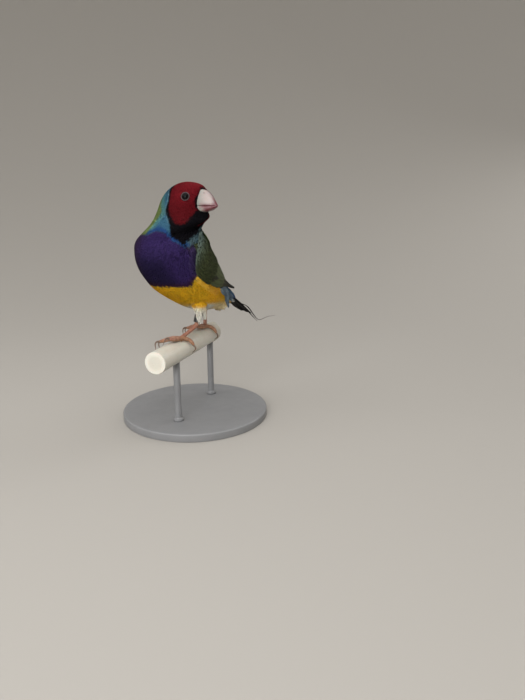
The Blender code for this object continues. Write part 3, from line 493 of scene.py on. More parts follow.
def plumage(points):
    """Colour of the coat at each point: the species' colours laid one over another from back to mask,
    each with a share that rises over a fraction of a millimetre at its border."""
    x, y, z = np.moveaxis(points, -1, 0)
    f, side, _ = in_head(points)
    around = np.degrees(np.arctan2(x, NECK_Y - y))
    top = np.interp(around, *BREAST_TOP)
    # painted highlight: the nape laid in a lighter yellow-green than the back, for rim light on it
    colour = laid(MANTLE_GREEN, NAPE_GREEN_LIT, rise(44, 54, z) * rise(-3, -8, f))
    colour = laid(colour, RUMP_BLUE, rise(8, 12, y) * rise(25, 23, z + 0.35 * (y - 10)))

    # belly, flanks and vent
    behind = rise(0.35, -0.35, z - FLANK_TOP[0] + FLANK_TOP[1] * y) * rise(-10.3, -9.3, y)
    belly_line = BELLY_TOP + 0.9 * np.maximum(np.abs(x) - 15, 0) ** 1.5
    under = np.maximum(behind, rise(-9.0, -10.2, y) * rise(0.25, -0.25, z - belly_line))
    streak = 0.5 + 0.5 * np.sin(x * 0.9 + y * 0.4) * np.sin(z * 0.35 + 1)
    yellow = laid(YELLOW, YELLOW_DEEP, streak * 0.6)
    # painted light: the flanks towards the tail laid in a brighter, more orange yellow
    yellow = laid(yellow, YELLOW_FLANK_LIT, rise(-6, 4, y) * rise(8, 13, np.abs(x)))
    yellow = laid(yellow, YELLOW_PALE, rise(18, 13.5, z) * 0.8)
    colour = laid(colour, yellow, under)
    white = rise(0.9, -0.9, z - VENT_TOP[0] + VENT_TOP[1] * (y + 6)) * rise(-6.5, -4.0, y) * under
    colour = laid(colour, laid(VENT_WHITE, YELLOW_PALE, rise(4, 9, y) * 0.6), white)

    # breast
    breast = rise(-9.3, -10.6, y) * rise(-0.25, 0.25, z - belly_line) * rise(0.45, -0.45, z - top)
    # painted shade: the violet darkened low on the breast's middle
    violet = laid(VIOLET, VIOLET_SHADED, rise(46, 36, z) * rise(15, 10, np.abs(x)) * 0.8)
    # painted sheen: a duller, browner violet towards the bird's right
    violet = laid(violet, VIOLET_BROWN_SHEEN, rise(2, -8, x) * 0.8)
    violet = laid(violet, VIOLET_RUST, rise(2.6, 0.6, z - belly_line) * 0.6)
    colour = laid(colour, violet, breast)
    # a brownish patch laid over the shoulder, fading with the distance from its middle
    worn = np.linalg.norm(points - BROWN_SPOT, axis=-1)
    colour = laid(colour, SPOT_BROWN, np.exp(-((worn / BROWN_SPOT_SIZE) ** 2)) * 0.7)

    # collar, from the nape round to the bib's edge
    nape = f - np.interp(z, *NAPE_EDGE)
    hind = rise(53, 49, z) * rise(-6.5, -1.5, y)
    sea = laid(laid(TURQUOISE, TURQUOISE_DEEP, rise(1, 5, nape)), COLLAR_BLUE, rise(3.2, 0.9, z - top))
    sea = laid(sea, SEA_GREY, rise(76, 84, around) * rise(62, 56, z))
    collar = rise(-0.9, 0.9, nape) * rise(-0.45, 0.45, z - top) * rise(43, 44, z) * (1 - hind)
    colour = laid(colour, sea, collar)

    # black bib with its pale rim, and the red mask
    edge = np.where(z > 57.0, f - np.interp(z, *JET_BACK), z - np.interp(around, *BIB_EDGE))
    colour = laid(colour, SEA_PALE, np.exp(-(((edge + 0.45) / 0.3) ** 2)) * rise(54, 56, z) * 0.5)
    colour = laid(colour, JET, rise(-0.25, 0.25, edge))
    chin = rise(-0.3, 0.3, np.interp(side, *MASK_LOW) - z) * rise(-0.3, 0.3, 1.55 * (z - 56) - 3 - side)
    red = laid(MASK_RED, MASK_DARK, rise(69, 60, z) * 0.8)
    return laid(colour, red, rise(-0.25, 0.25, f - np.interp(z, *MASK_BACK)) * (1 - chin))


def paint(made, name, colours):
    """Stores one colour a vertex."""
    layer = made.data.attributes.new(name, "FLOAT_COLOR", "POINT")
    layer.data.foreach_set("color", np.c_[colours, np.ones(len(colours))].astype(np.float32).ravel())


def vertices(made):
    """A finished mesh's points, in millimetres over the perch's top."""
    found = np.empty(len(made.data.vertices) * 3, np.float32)
    made.data.vertices.foreach_get("co", found)
    return found.reshape(-1, 3) / MM - (0, 0, LIFT)


down = Look("down", Roughness=0.9, Specular_IOR_Level=0.05)
fibre = down.noise(2200, 3)
down.wear(Base_Color=down.scaled(down.tint(), fibre * 0.5 + 0.55), Normal=down.bump(fibre, 0.12, 0.8))


def tube_rings(spots, around=40, rows=30, less=0.0):
    """Rings of a tube through spots (x, y, z, radius) by a spline, each set square to its line."""
    line = spline(spots, np.linspace(0, len(spots) - 1, rows))
    path, radii = line[:, :3], np.maximum(line[:, 3] - less, 0.25)
    along = unit(np.gradient(path, axis=0))
    side = unit(np.cross(along, SIDE_OF_TUBE))
    turn = round_turn(around)[None, :, None]
    ring = side[:, None] * np.cos(turn) + np.cross(side, along)[:, None] * np.sin(turn)
    return path[:, None] + ring * radii[:, None, None]


rows = TAIL_END * (1 - np.cos(np.linspace(0.03, math.pi - 0.03, 150))) / 2
s_grid, phi_grid = np.meshgrid(rows, round_turn(96), indexing="ij")
shells = [body(s_grid, phi_grid, -np.interp(s_grid, DOWN_AT, DOWN_DEPTH))]
shells += [tube_rings(spots, less=SKIN_UNDER) for spots in THIGHS.values()]
shells += [tube_rings(TAIL_STUB)]
skin = put("skin", *joined(shells), down)
skin.data.remesh_voxel_size = VOXEL * MM
bpy.context.view_layer.objects.active = skin
bpy.ops.object.voxel_remesh()
skin.data.shade_smooth()
# painted shade: the down darker than the feathers over it
paint(skin, "tint", plumage(vertices(skin)) * SKIN_SHADE)
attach(skin, "root")
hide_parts("head", "neck", "torso", "thigh_left", "thigh_right")

# ------------------------------------------------------------------------------ bill
# The seed-cracking bill: two horny halves that meet in a mouth line, ivory with a flush of rose red
# at the tip and along the edges that meet. A nostril opens on each side, high at its root.
BILL_ROOT = 6.5
BILL_TIP = 19.2
GAPE_Z = 63.2  # height of the mouth line
LIP = 0.05  # each half keeps this far from the mouth line
# along the head's front and up: the upper half's ridge, and the lower half's keel
CULMEN = ((6.5, 71.1), (10.5, 71.1), (13.4, 70.1), (15.5, 68.5), (17.2, 66.3), (18.5, 64.2), (19.1, 63.3))
KEEL = ((6.5, 60.1), (10.5, 60.2), (13.4, 60.6), (15.8, 61.3), (17.6, 62.2), (18.6, 62.8), (18.9, 63.0))
BILL_HALF_WIDTH = 4.15
NOSTRIL = (12.6, 1.75, 68.9)  # along the head's front, to its side and up
NOSTRIL_SIZE = 0.42
NOSTRIL_DEPTH = 0.45
HORN = srgb(158, 144, 140)
HORN_GREY = srgb(138, 140, 132)
# painted shade along the ridge of the upper half
RIDGE_SHADE = srgb(70, 36, 40)
NOSTRIL_SHADE = srgb(60, 40, 38)
ROSE = srgb(92, 12, 32)

horn = Look("bill_horn", Coat_Weight=0.25, Coat_Roughness=0.25)
horn.wear(Subsurface_Weight=0.15, Subsurface_Scale=0.0015)
grain = horn.node("ShaderNodeMapping", {}, {"Vector": horn.place(), "Scale": (0.35, 1.0, 1.3)})
growth = horn.noise(900, 3, grain)
horn.wear(
    Base_Color=horn.scaled(horn.tint(), growth * 0.2 + 0.9),
    Roughness=growth * 0.2 + 0.28,
    Normal=horn.bump(growth, 0.03, 0.5),
)


def profile_at(profile, f):
    """Height of the bill's ridge or keel at each place along the head's front."""
    return np.interp(f, *spline(profile, np.linspace(0, len(profile) - 1, 80)).T)


def bill_half(f, fullness=1.7):
    """Half width of the bill at each place along the head's front."""
    t = np.clip((f - BILL_ROOT) / (BILL_TIP - BILL_ROOT), 0, 1)
    return BILL_HALF_WIDTH * np.maximum(1 - t**fullness, 0.003) ** 0.85


def from_nostril(points):
    """Distance of each point from the nostril on its own side."""
    side = np.sign(in_head(points)[1])
    return np.linalg.norm(points - head_place(NOSTRIL[0], side * NOSTRIL[1], NOSTRIL[2]), axis=-1)


def bill_rings(profile, upper):
    """Half of the bill: at each step along its profile a half round from the mouth line to the ridge,
    flattened at the sides; the mouth line dips towards the cheek."""
    line = spline(profile, (1 - np.linspace(1, 0, 64) ** 1.3) * (len(profile) - 1))
    f, ridge = line[:, 0, None], line[:, 1, None]
    half = bill_half(f, 1.7 if upper else 2.3)
    mouth = GAPE_Z - 0.35 * np.maximum((12 - f) / 4, 0) ** 2 + (LIP if upper else -LIP)
    turn = np.linspace(0, math.pi, 41)[None, :]
    boxy = (0.85, 0.9) if upper else (0.65, 0.52)
    side = half * np.sign(np.cos(turn)) * np.abs(np.cos(turn)) ** boxy[0]
    tall = np.where(np.abs(ridge - mouth) < 0.1, 0.1 if upper else -0.1, ridge - mouth)
    z = mouth + tall * np.sin(turn) ** boxy[1]
    f, mouth = f + 0 * turn, mouth + 0 * turn
    rings = head_place(f, side, z)
    dent = np.exp(-((from_nostril(rings) / NOSTRIL_SIZE) ** 2)) * (NOSTRIL_DEPTH if upper else 0.0)
    inward = unit(head_place(f, side * 0, mouth) - rings)
    floor_of_mouth = head_place(f, -side, mouth)[:, 1:-1]
    return np.concatenate([rings + inward * dent[..., None], floor_of_mouth], 1)


for name, profile, upper in (("bill_horn_upper", CULMEN, True), ("bill_horn_lower", KEEL, False)):
    half = put(name, *joined([bill_rings(profile, upper)]), horn)
    f, side, z = in_head(vertices(half))
    edge = np.exp(-(((z - GAPE_Z) / 1.0) ** 2))
    flush = np.clip(rise(16.0, 18.6, f) + edge * rise(9.5, 13.5, f), 0, 1)
    flush = np.maximum(flush, 0 if upper else rise(11.5, 14.5, f) * 0.9)
    # painted shade: a dark brownish line along the upper half's ridge
    ridge = np.exp(-((side / 0.8) ** 2)) * rise(66.0, 68.0, z + 0.4 * (f - 12)) * upper
    ivory = laid(laid(HORN, HORN_GREY, rise(14.0, 9.5, f) * 0.9), RIDGE_SHADE, ridge * 0.7)
    tint = laid(ivory, ROSE, flush)
    if upper:
        # painted shade in the nostril's dent, as in a deep opening
        pit = rise(NOSTRIL_SIZE, NOSTRIL_SIZE * 0.5, from_nostril(vertices(half)))
        tint = laid(tint, NOSTRIL_SHADE, pit)
    paint(half, "tint", tint)
    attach(half, "root")
    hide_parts("bill_upper" if upper else "bill_lower")

# ------------------------------------------------------------------------------ eyes
# Round dark eyes, a wet brown iris round a black pupil, each held by a narrow bare ring of finely
# wrinkled grey skin: the two lids, which meet in front of and behind the eye.
EYE_RADIUS = 2.05
EYE_ANGLE = 60.0  # degrees from the head's front
EYE_Z = 67.4
EYE_SINK = 1.0  # how far the eyeball's middle lies under the feathers
PUPIL = 1.15
PUPIL_BLACK = srgb(5, 4, 5)
IRIS_BROWN = srgb(20, 12, 10)
LID_MIDDLE = 1.84  # radius of the ring of the lids
LID_THICK = 0.22
LID_OUT = 0.12  # how far the lids stand out
LID_FOLDS = 26
LID_GRID = (96, 24)
SECTION_DROP = 5.2  # height from one section of the head to the next, at the eye
SMALL = 0.05  # step by which the skin's slope at the eye is taken

eyeball = Look("eye", Roughness=0.04, Specular_IOR_Level=0.1)
eyeball.wear(Base_Color=eyeball.scaled(eyeball.tint(), eyeball.noise(3000, 2) * 0.6 + 0.7))
lid_skin = Look("lid_skin", Specular_IOR_Level=0.4)
wrinkle = lid_skin.noise(3800, 2)
lid_skin.wear(
    Base_Color=lid_skin.mix(wrinkle, srgb(44, 30, 34), srgb(86, 66, 70)),
    Roughness=wrinkle * 0.2 + 0.4,
    Normal=lid_skin.bump(wrinkle, 0.06, 0.8),
)


def eye_place(side):
    """Middle of the eyeball and its outward direction; side is 1 for the bird's left."""
    s = np.array(2.0 + (SECTIONS["eye"][2] - EYE_Z) / SECTION_DROP)
    angle = np.array(math.radians(EYE_ANGLE) * side)
    at = body(s, angle)
    near = body(s, angle + SMALL) - body(s, angle - SMALL)
    high = body(s - SMALL, angle) - body(s + SMALL, angle)
    out = unit(np.cross(near, high))
    out = out * np.sign(out @ (at - head_place(0, 0, EYE_Z)))
    return at - out * EYE_SINK, out


def from_eye(points, middle, out):
    """How far each point lies from the line that looks straight out of the eye, and how far along it."""
    apart = points - middle
    ahead = dot(apart, out)
    return np.linalg.norm(apart - ahead * out, axis=-1), ahead[..., 0]


for side, word in ((1, "left"), (-1, "right")):
    middle, out = eye_place(side)
    angles = np.linspace(0.02, math.pi - 0.02, 48)
    ball = [(-EYE_RADIUS * math.cos(a), EYE_RADIUS * math.sin(a)) for a in angles]
    eye = put("eyeball_" + word, *joined([turned(middle, out, ball, 64)]), eyeball)
    aside, _ = from_eye(vertices(eye), middle, out)
    paint(eye, "tint", laid(PUPIL_BLACK, IRIS_BROWN, rise(PUPIL, PUPIL + 0.15, aside)))
    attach(eye, "root")
    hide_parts("eye_" + word)
    round_eye, turn = round_turn(LID_GRID[0])[:, None], round_turn(LID_GRID[1])[None, :]
    sideways = unit(np.cross(out, UP))
    way = sideways * np.cos(round_eye) + np.cross(sideways, out) * np.sin(round_eye)
    puff = 1 + 0.07 * np.sin(round_eye * LID_FOLDS) + 0.12 * np.abs(np.sin(round_eye))
    reach = LID_MIDDLE + LID_THICK * np.cos(turn)
    height = EYE_SINK + LID_OUT + LID_THICK * 0.8 * (np.sin(turn) * puff)
    rings = middle + way[:, None] * reach[..., None] + out * height[..., None]
    lids = put("lids_" + word, rings.reshape(-1, 3), [ring_faces(*LID_GRID, looped=True)], lid_skin)
    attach(lids, "root")

# ------------------------------------------------------------------------------ legs and feet
# Slender bare legs of flesh-coloured skin under rows of horny scutes, and feet whose three front
# toes lie over the perch while the hind one wraps it. Each toe ends in a curved claw of dark horn.
FEET = {
    # degrees round the perch from its top, place along it, the heel, and a point inside the thigh
    "left": (16.0, -19.0, (8.05, -4.0, 5.1), (8.0, -1.2, 14.6)),
    "right": (20.0, 10.0, (-3.7, 11.0, 11.6), (-4.2, 9.2, 14.5)),
}
TOES = {
    # turn from the bird's heading, length, and the share of the way by which it wraps the perch
    "inner": (-26.0, 8.8, 0.2),
    "middle": (0.0, 11.4, 0.15),
    "outer": (22.0, 8.8, 0.2),
    "hind": (180.0, 8.6, 1.0),
}
TARSUS_RADIUS = 0.95
TOE_RADIUS = 0.95
TOE_SCUTE = 0.95  # length of a scute on the toes
SHIN_SCUTE = 1.15  # and on the shin
PAD_RISE = 0.75
HEEL_BEND = 1.8  # how far from the heel the leg starts to turn
BEND_STEPS = 40
TOE_LIFT = 1.3  # the front toes' ends rise this far off the perch
CLAW_LENGTH = 4.6
CLAW_ARCH = 0.9
CLAW_DROP = 0.75
TOE_STEPS = 120
LEG_STEPS = 200
LEG_AROUND = 36
FLESH = srgb(156, 110, 92)
FLESH_DARK = srgb(112, 74, 60)
FLESH_PALE = srgb(188, 150, 130)
CLAW_GREY = srgb(104, 84, 70)
TOE_TAN = srgb(150, 112, 84)

leg_look = Look("leg_skin", Subsurface_Weight=0.12, Subsurface_Scale=0.001, Specular_IOR_Level=0.2)
pores = leg_look.noise(2600, 3)
leg_look.wear(
    Base_Color=leg_look.scaled(leg_look.tint(), pores * 0.5 + 0.75),
    Roughness=pores * 0.25 + 0.38,
    Normal=leg_look.bump(pores, 0.05, 0.7),
)
claw_look = Look("claw_horn", Specular_IOR_Level=0.5)
streak = claw_look.noise(1600, 3)
claw_look.wear(
    Base_Color=claw_look.mix(streak, CLAW_GREY * 0.6, CLAW_GREY * 1.3),
    Roughness=streak * 0.2 + 0.25,
    Normal=claw_look.bump(streak, 0.02, 0.5),
)


def round_perch(turn_round, along, over):
    """Point at an angle round the perch from its top, a place along it and a height over its skin,
    and the direction straight out from the perch there."""
    near = np.array([PERCH_WAY[1], -PERCH_WAY[0], 0.0])
    angle = np.radians(np.asarray(turn_round, float))[..., None]
    out = near * np.sin(angle) + UP * np.cos(angle)
    reach = PERCH_RADIUS + np.asarray(over, float)[..., None]
    return PERCH_AXIS + PERCH_WAY * np.asarray(along, float)[..., None] + out * reach, out


def toe_path(word, toe):
    """Centre line of a toe and its claw: it leaves the pad along its heading, turns to wrap the perch
    by its share, and follows the perch's skin; the claw arches over it and comes down again."""
    round_at, along_at = FEET[word][:2]
    heading, length, wrap = TOES[toe]
    heading = heading if word == "left" or toe in ("middle", "hind") else -heading
    way = np.array([math.sin(math.radians(heading)), -math.cos(math.radians(heading))])
    go_round = way @ np.array([PERCH_WAY[1], -PERCH_WAY[0]])
    go_along = way @ PERCH_WAY[:2]
    step = (length + CLAW_LENGTH) / TOE_STEPS
    done = step * np.arange(1, TOE_STEPS + 1)
    share = wrap * np.minimum(done / length, 1.0) ** 1.7
    turning = go_round * (1 - share) + np.copysign(1.0, go_round) * share
    sliding = go_along * (1 - share)
    size = np.hypot(turning, sliding)
    beyond = np.maximum(done - length, 0) / CLAW_LENGTH
    lift = 0.0 if toe == "hind" else TOE_LIFT
    over = GAP + TOE_RADIUS * 1.02 + lift * np.minimum(done / length, 1.0) ** 2
    arch = CLAW_ARCH * np.sin(math.pi * np.minimum(beyond * 1.25, 1.0))
    over = over + arch - (CLAW_DROP + lift) * beyond**2
    rounds = round_at + np.cumsum(np.degrees(step * turning / size / (PERCH_RADIUS + over)))
    alongs = along_at + np.cumsum(step * sliding / size)
    first = GAP + TOE_RADIUS
    path, out = round_perch(np.r_[round_at, rounds], np.r_[along_at, alongs], np.r_[first, over])
    return path, out, np.r_[0.0, done], length


def limb(path, out, top, foot, side, around=28):
    """Rings along a path: half an ellipse of height top towards out, and one of height foot away from it."""
    along = unit(np.gradient(path, axis=0))
    across = unit(np.cross(along, out))
    lifted = np.cross(across, along)
    turn = round_turn(around)[None, :]
    tall = np.where(np.sin(turn) > 0, top[:, None], foot[:, None]) * np.sin(turn)
    wide = side[:, None] * np.cos(turn)
    return path[:, None] + across[:, None] * wide[..., None] + lifted[:, None] * tall[..., None]


def scutes(done, pitch, depth):
    """Overlapping scutes: each rises slowly along the toe and drops at its end."""
    share = (done / pitch) % 1.0
    return 1 + depth * (share**0.6 * rise(1.0, 0.88, share))


def scute_edge(done, pitch):
    """1 at the far end of each scute, where its horn is palest."""
    return rise(0.8, 1.0, (done / pitch) % 1.0)


def leg_path(word):
    """Centre line of the bare leg, evenly stepped: straight from the pad, bent at the heel, and on
    into the thigh. Gives its points, how far along each is, and how far along the heel is."""
    round_at, along_at, heel, knee = FEET[word]
    pad, _ = round_perch(round_at, along_at, GAP + PAD_RISE)
    heel, knee = np.array(heel), np.array(knee)
    foot = pad - unit(heel - pad) * 0.5
    t = np.linspace(0, 1, BEND_STEPS)[:, None]
    first = heel + unit(pad - heel) * HEEL_BEND
    last = heel + unit(knee - heel) * HEEL_BEND
    bend = first * (1 - t) ** 2 + heel * 2 * t * (1 - t) + last * t**2
    line = np.concatenate([foot + (first - foot) * t[:-1], bend, last + (knee - last) * t[1:]])
    far = np.r_[0, np.cumsum(np.linalg.norm(np.diff(line, axis=0), axis=1))]
    done = np.linspace(0, far[-1], LEG_STEPS)
    path = np.stack([np.interp(done, far, line[:, k]) for k in range(3)], -1)
    return path, done, far[BEND_STEPS + BEND_STEPS // 2 - 2]


for word in FEET:
    shells, pale = [], []
    for toe in TOES:
        path, out, done, length = toe_path(word, toe)
        t = done / length
        keep = done <= length + 0.1
        base = TOE_RADIUS * np.interp(t, (0, 0.5, 0.85, 1), (1.10, 0.96, 0.86, 0.68))
        knuckle = 0.1 * sum(np.exp(-(((t - at) / 0.07) ** 2)) for at in (0.38, 0.7))
        top = base * scutes(done, TOE_SCUTE, 0.11) * (1 + knuckle)
        pads = base * (0.95 + 0.16 * np.abs(np.sin(math.pi * (t * 3.1 + 0.1))) ** 0.7)
        wide = base * 0.96 * (1 + knuckle) * (0.97 + 0.03 * np.cos(done * 6.6))
        round_tip = np.sqrt(np.clip((length + 0.12 - done) / 0.35, 0.02, 1))
        rings = limb(path, out, top * round_tip, pads * round_tip, wide * round_tip)
        shells.append(rings[keep])
        edge = 0.6 * scute_edge(done, TOE_SCUTE) + 5.0 * knuckle
        pale += [np.repeat(edge[keep], rings.shape[1]), edge[[0, -1]] * 0]
        u = (done - length) / CLAW_LENGTH
        horny = u >= -0.06
        slim = np.interp(u, (-0.06, 0, 0.3, 0.7, 1), (0.6, 0.56, 0.42, 0.25, 0.04)) * TOE_RADIUS
        claw_rings = limb(path, out, slim * 1.15, slim * 0.9, slim * 0.72, 20)[horny]
        claw = put(f"claw_horn_{word}_{toe}", *joined([claw_rings]), claw_look)
        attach(claw, "root")
        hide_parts(f"claw_{word}_{toe}")
    path, done, at_heel = leg_path(word)
    marks = (0, 0.5, 1.8, at_heel * 0.45, at_heel - 1.6, at_heel, at_heel + 1.6, done[-1])
    base = TARSUS_RADIUS * np.interp(done, marks, (1.45, 1.5, 1.12, 0.94, 1.02, 1.28, 1.0, 0.95))
    forward = np.tile([0.15, -1.0, 0.5], (LEG_STEPS, 1))
    above = rise(at_heel - 1.0, at_heel + 1.0, done)
    top = base * (scutes(done, SHIN_SCUTE, 0.10) * (1 - above) + above)
    shells.append(limb(path, forward, top, base * 1.05, base * 0.88, LEG_AROUND))
    edge = 0.5 * scute_edge(done, SHIN_SCUTE) * (1 - above) + 0.25 * above
    pale += [np.repeat(edge, LEG_AROUND), edge[[0, -1]] * 0]
    foot = put("scaled_foot_" + word, *joined(shells), leg_look)
    x, y, height = vertices(foot).T
    blotch = rise(0.25, 0.9, np.sin(x * 2.3 + y * 1.7) * np.sin(height * 2.9) * 0.5 + 0.5)
    flesh = laid(laid(FLESH, TOE_TAN, rise(2.6, 1.2, height)), FLESH_DARK, blotch * 0.45)
    flesh = laid(flesh, FLESH_PALE, rise(2.5, 6.0, height) * (0.55 if word == "right" else 0.0))
    paint(foot, "tint", laid(flesh, FLESH_PALE, np.clip(np.concatenate(pale), 0, 1) * 0.8))
    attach(foot, "root")
    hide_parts("foot_" + word, "leg_" + word)

# ------------------------------------------------------------------------------ leg ring
# A closed band of black plastic that stands round the left leg over its heel, half under the down of
# the thigh.
RING_OVER_HEEL = 3.6  # its middle, up the leg from the heel
RING_RADIUS = 1.75
RING_HEIGHT = 3.7
RING_AROUND = 64

band = Look("ring_plastic", Base_Color=srgb(18, 17, 18), Specular_IOR_Level=0.5)
band.wear(Roughness=band.noise(1800, 2) * 0.25 + 0.22, Normal=band.bump(band.noise(1400, 2), 0.03, 0.5))
heel, knee = (np.array(spot) for spot in FEET["left"][2:])
way = unit(knee - heel)
start = heel + way * (RING_OVER_HEEL - RING_HEIGHT / 2)
inner = TARSUS_RADIUS * 1.1 + GAP
wall = (RING_RADIUS - inner) / 2
outline = arc((wall, inner + wall), wall, 270, 90, 9)
outline += arc((RING_HEIGHT - wall, inner + wall), wall, 90, -90, 9)
rings = turned(start, way, outline, RING_AROUND)
quads = ring_faces(len(outline), RING_AROUND, looped=True)
leg_ring = put("leg_band", rings.reshape(-1, 3), [quads], band)
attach(leg_ring, "root")
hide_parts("leg_ring")

# ------------------------------------------------------------------------------ coat
# Small contour feathers in staggered order over the whole body, tiny and tight on the face, longer
# and looser towards the belly. Each is a thin cupped vane with a frayed tip over its neighbours' roots.
BAKE_PATCH = 0.003  # a vane's share of the map for baking
VANE_THICK = 0.05
BILL_HEART = head_place(8.0, 0.0, 64.6)
VANES = {
    # rows and half-widths along the vane, places across it, and how raggedly it ends
    "full": ((0.0, 0.34, 0.64, 0.86, 1.0), (0.45, 0.86, 1.0, 0.94, 0.74), np.linspace(-1, 1, 5), 0.1),
    "small": ((0.0, 0.35, 0.75, 1.0), (0.5, 1.0, 0.9, 0.42), np.linspace(-1, 1, 3), 0.2),
    "plume": ((0.0, 0.35, 0.72, 1.0), (0.6, 1.0, 0.8, 0.2), np.linspace(-1, 1, 3), 0.2),
}
STRAIGHT_FROM = 11.2  # section after which feathers run on straight, along the tail
STRAIGHT_STEP = 7.5  # length of one section there
TO_TAIL = np.array([0.0, 0.80, -0.60])
SCATTER = (0.7548776662466927, 0.5698402909980532)  # golden-ratio steps in two directions
SIZE_STRAY = 0.15  # share by which the vanes' lengths stray
WIDTH_STRAY = 0.1  # the same for their widths
TONE_STRAY = 0.06  # for how light they are
COLOUR_STRAY = 0.02  # and for each part of their colour
HEIGHT_STRAY = 0.07  # how far their tips may sink
TIP_ROUND = 0.24  # how far a vane's corners fall back from its tip
CUP = 0.16  # how far its edges bend down
BODY_CURVE = 22.0  # twice the radius of the body under it
TURN_REACH = (8.5, 17.0)  # from the bill, over which the feathers' way turns along the body
ROOT_UNDER = 1.15  # depths of the coat at which its feathers root
TIP_STRAY = 0.16  # how far a border of colour may run over
UNDER_WING = (6.6, 9.6, 98)  # first and last section that the wings hide, and degrees round


def feathers(name, top, under, tint, look, bake=None):
    """Vanes as one mesh, from grids (vanes, rows, across, 3) of their upper and under sides.

    The two sides share the points of the rim, so each vane is a closed lens with a thin edge. Its own
    map "vane" has the place across it and along it, and "OFBake" one small patch a vane.
    """
    count, rows, across = top.shape[:3]
    index = np.arange(rows * across).reshape(rows, across)
    low = index.copy()
    low[1:-1, 1:-1] = rows * across + np.arange((rows - 2) * (across - 2)).reshape(rows - 2, across - 2)
    sides = []
    for grid in (index, low):
        squares = np.stack([grid[:-1, :-1], grid[:-1, 1:], grid[1:, 1:], grid[1:, :-1]], -1)
        sides.append(squares.reshape(-1, 4))
    pattern = np.concatenate([sides[0], sides[1][:, ::-1]])
    row, column = rows // 2, across // 2
    middle = top[0, row, column]
    upward = np.cross(top[0, row, column + 1] - middle, top[0, row + 1, column] - middle)
    if upward @ (middle - under[0, row, column]) < 0:
        pattern = pattern[:, ::-1]

    def rimmed(upper, lower):
        """Points of the upper side, then those of the lower side that lie inside the rim."""
        return np.concatenate([upper.reshape(count, -1, 3), lower[:, 1:-1, 1:-1].reshape(count, -1, 3)], 1)

    both = rimmed(top, under)
    faces = pattern[None] + both.shape[1] * np.arange(count)[:, None, None]
    made = put(name, both.reshape(-1, 3), [faces.reshape(-1, 4)], look)
    flat = np.tile(np.arange(len(pattern)) >= len(sides[0]), count)
    made.data.attributes.new("sharp_face", "BOOLEAN", "FACE").data.foreach_set("value", flat)
    paint(made, "tint", rimmed(tint, tint).reshape(-1, 3))
    own = np.stack(np.meshgrid(np.linspace(0, 1, across), np.linspace(0, 1, rows)), -1)
    own = np.concatenate([own.reshape(-1, 2), own[1:-1, 1:-1].reshape(-1, 2)])[pattern].reshape(-1, 2)
    maps = {"vane": np.tile(own, (count, 1))}
    if bake is not None:
        patch = (own - 0.5) * BAKE_PATCH
        maps["OFBake"] = (np.clip(bake, 0.01, 0.99)[:, None] + patch[None]).reshape(-1, 2)
    for layer, places in maps.items():
        made.data.uv_layers.new(name=layer).uv.foreach_set("vector", places.astype(np.float32).ravel())
    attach(made, "root")
    return made


def feather_look(name, barbs, roughness, gloss=0.1, relief=0.05):
    """Finish of a feather: a shaft down its middle and fine barbs that slant from it to the edge."""
    look = Look(name, Specular_IOR_Level=gloss)
    tint = look.tint()
    own = look.node("ShaderNodeUVMap", {"uv_map": "vane"}, {})
    u = look.node("ShaderNodeSeparateXYZ", {}, {"Vector": own}, "X")
    v = look.node("ShaderNodeSeparateXYZ", {}, {"Vector": own}, "Y")
    from_shaft = (u - 0.5).size() * 2
    wave = look.noise(1500, 2) * 1.6
    line = ((v * barbs - from_shaft * (barbs * 0.22) + wave) * (2 * math.pi)).sine() * 0.5 + 0.5
    shaft = from_shaft.step(0.10, 0.02)
    cloud = look.noise(500, 3)
    light = line * 0.22 + cloud * 0.4 + 0.7 - shaft * 0.12
    look.wear(
        Base_Color=look.scaled(tint, light),
        Roughness=cloud * 0.2 + roughness,
        Normal=look.bump(line * 0.7 + shaft, relief, 0.7),
    )
    return look


def trunk(a, b, over):
    """surface(), carried on straight along the tail behind the vent."""
    s = a * a + b * b
    kept = np.minimum(s, STRAIGHT_FROM)
    shrink = np.sqrt(kept / s)
    return surface(a * shrink, b * shrink, over) + (s - kept)[..., None] * STRAIGHT_STEP * TO_TAIL


def stance(on, p, q):
    """Place of each root on a surface on(p, q, height), and the surface's steps along p and q there."""
    step = 1e-3
    along_p = (on(p + step, q, 0.0) - on(p - step, q, 0.0)) / (2 * step)
    along_q = (on(p, q + step, 0.0) - on(p, q - step, 0.0)) / (2 * step)
    return on(p, q, 0.0), along_p, along_q


def facing(on, p, q):
    """Place of each root on a surface, the surface's step along p there, and the way straight out of it."""
    place, along_p, along_q = stance(on, p, q)
    out = unit(np.cross(along_p, along_q))
    return place, along_p, out * np.sign(dot(out, place - on(p, q, -1.0)))


def sequence(count):
    """Places in the unit square, spread by a two-way golden-ratio sequence, even and never in rows."""
    n = np.arange(count)
    return (0.5 + n * SCATTER[0]) % 1, (0.5 + n * SCATTER[1]) % 1


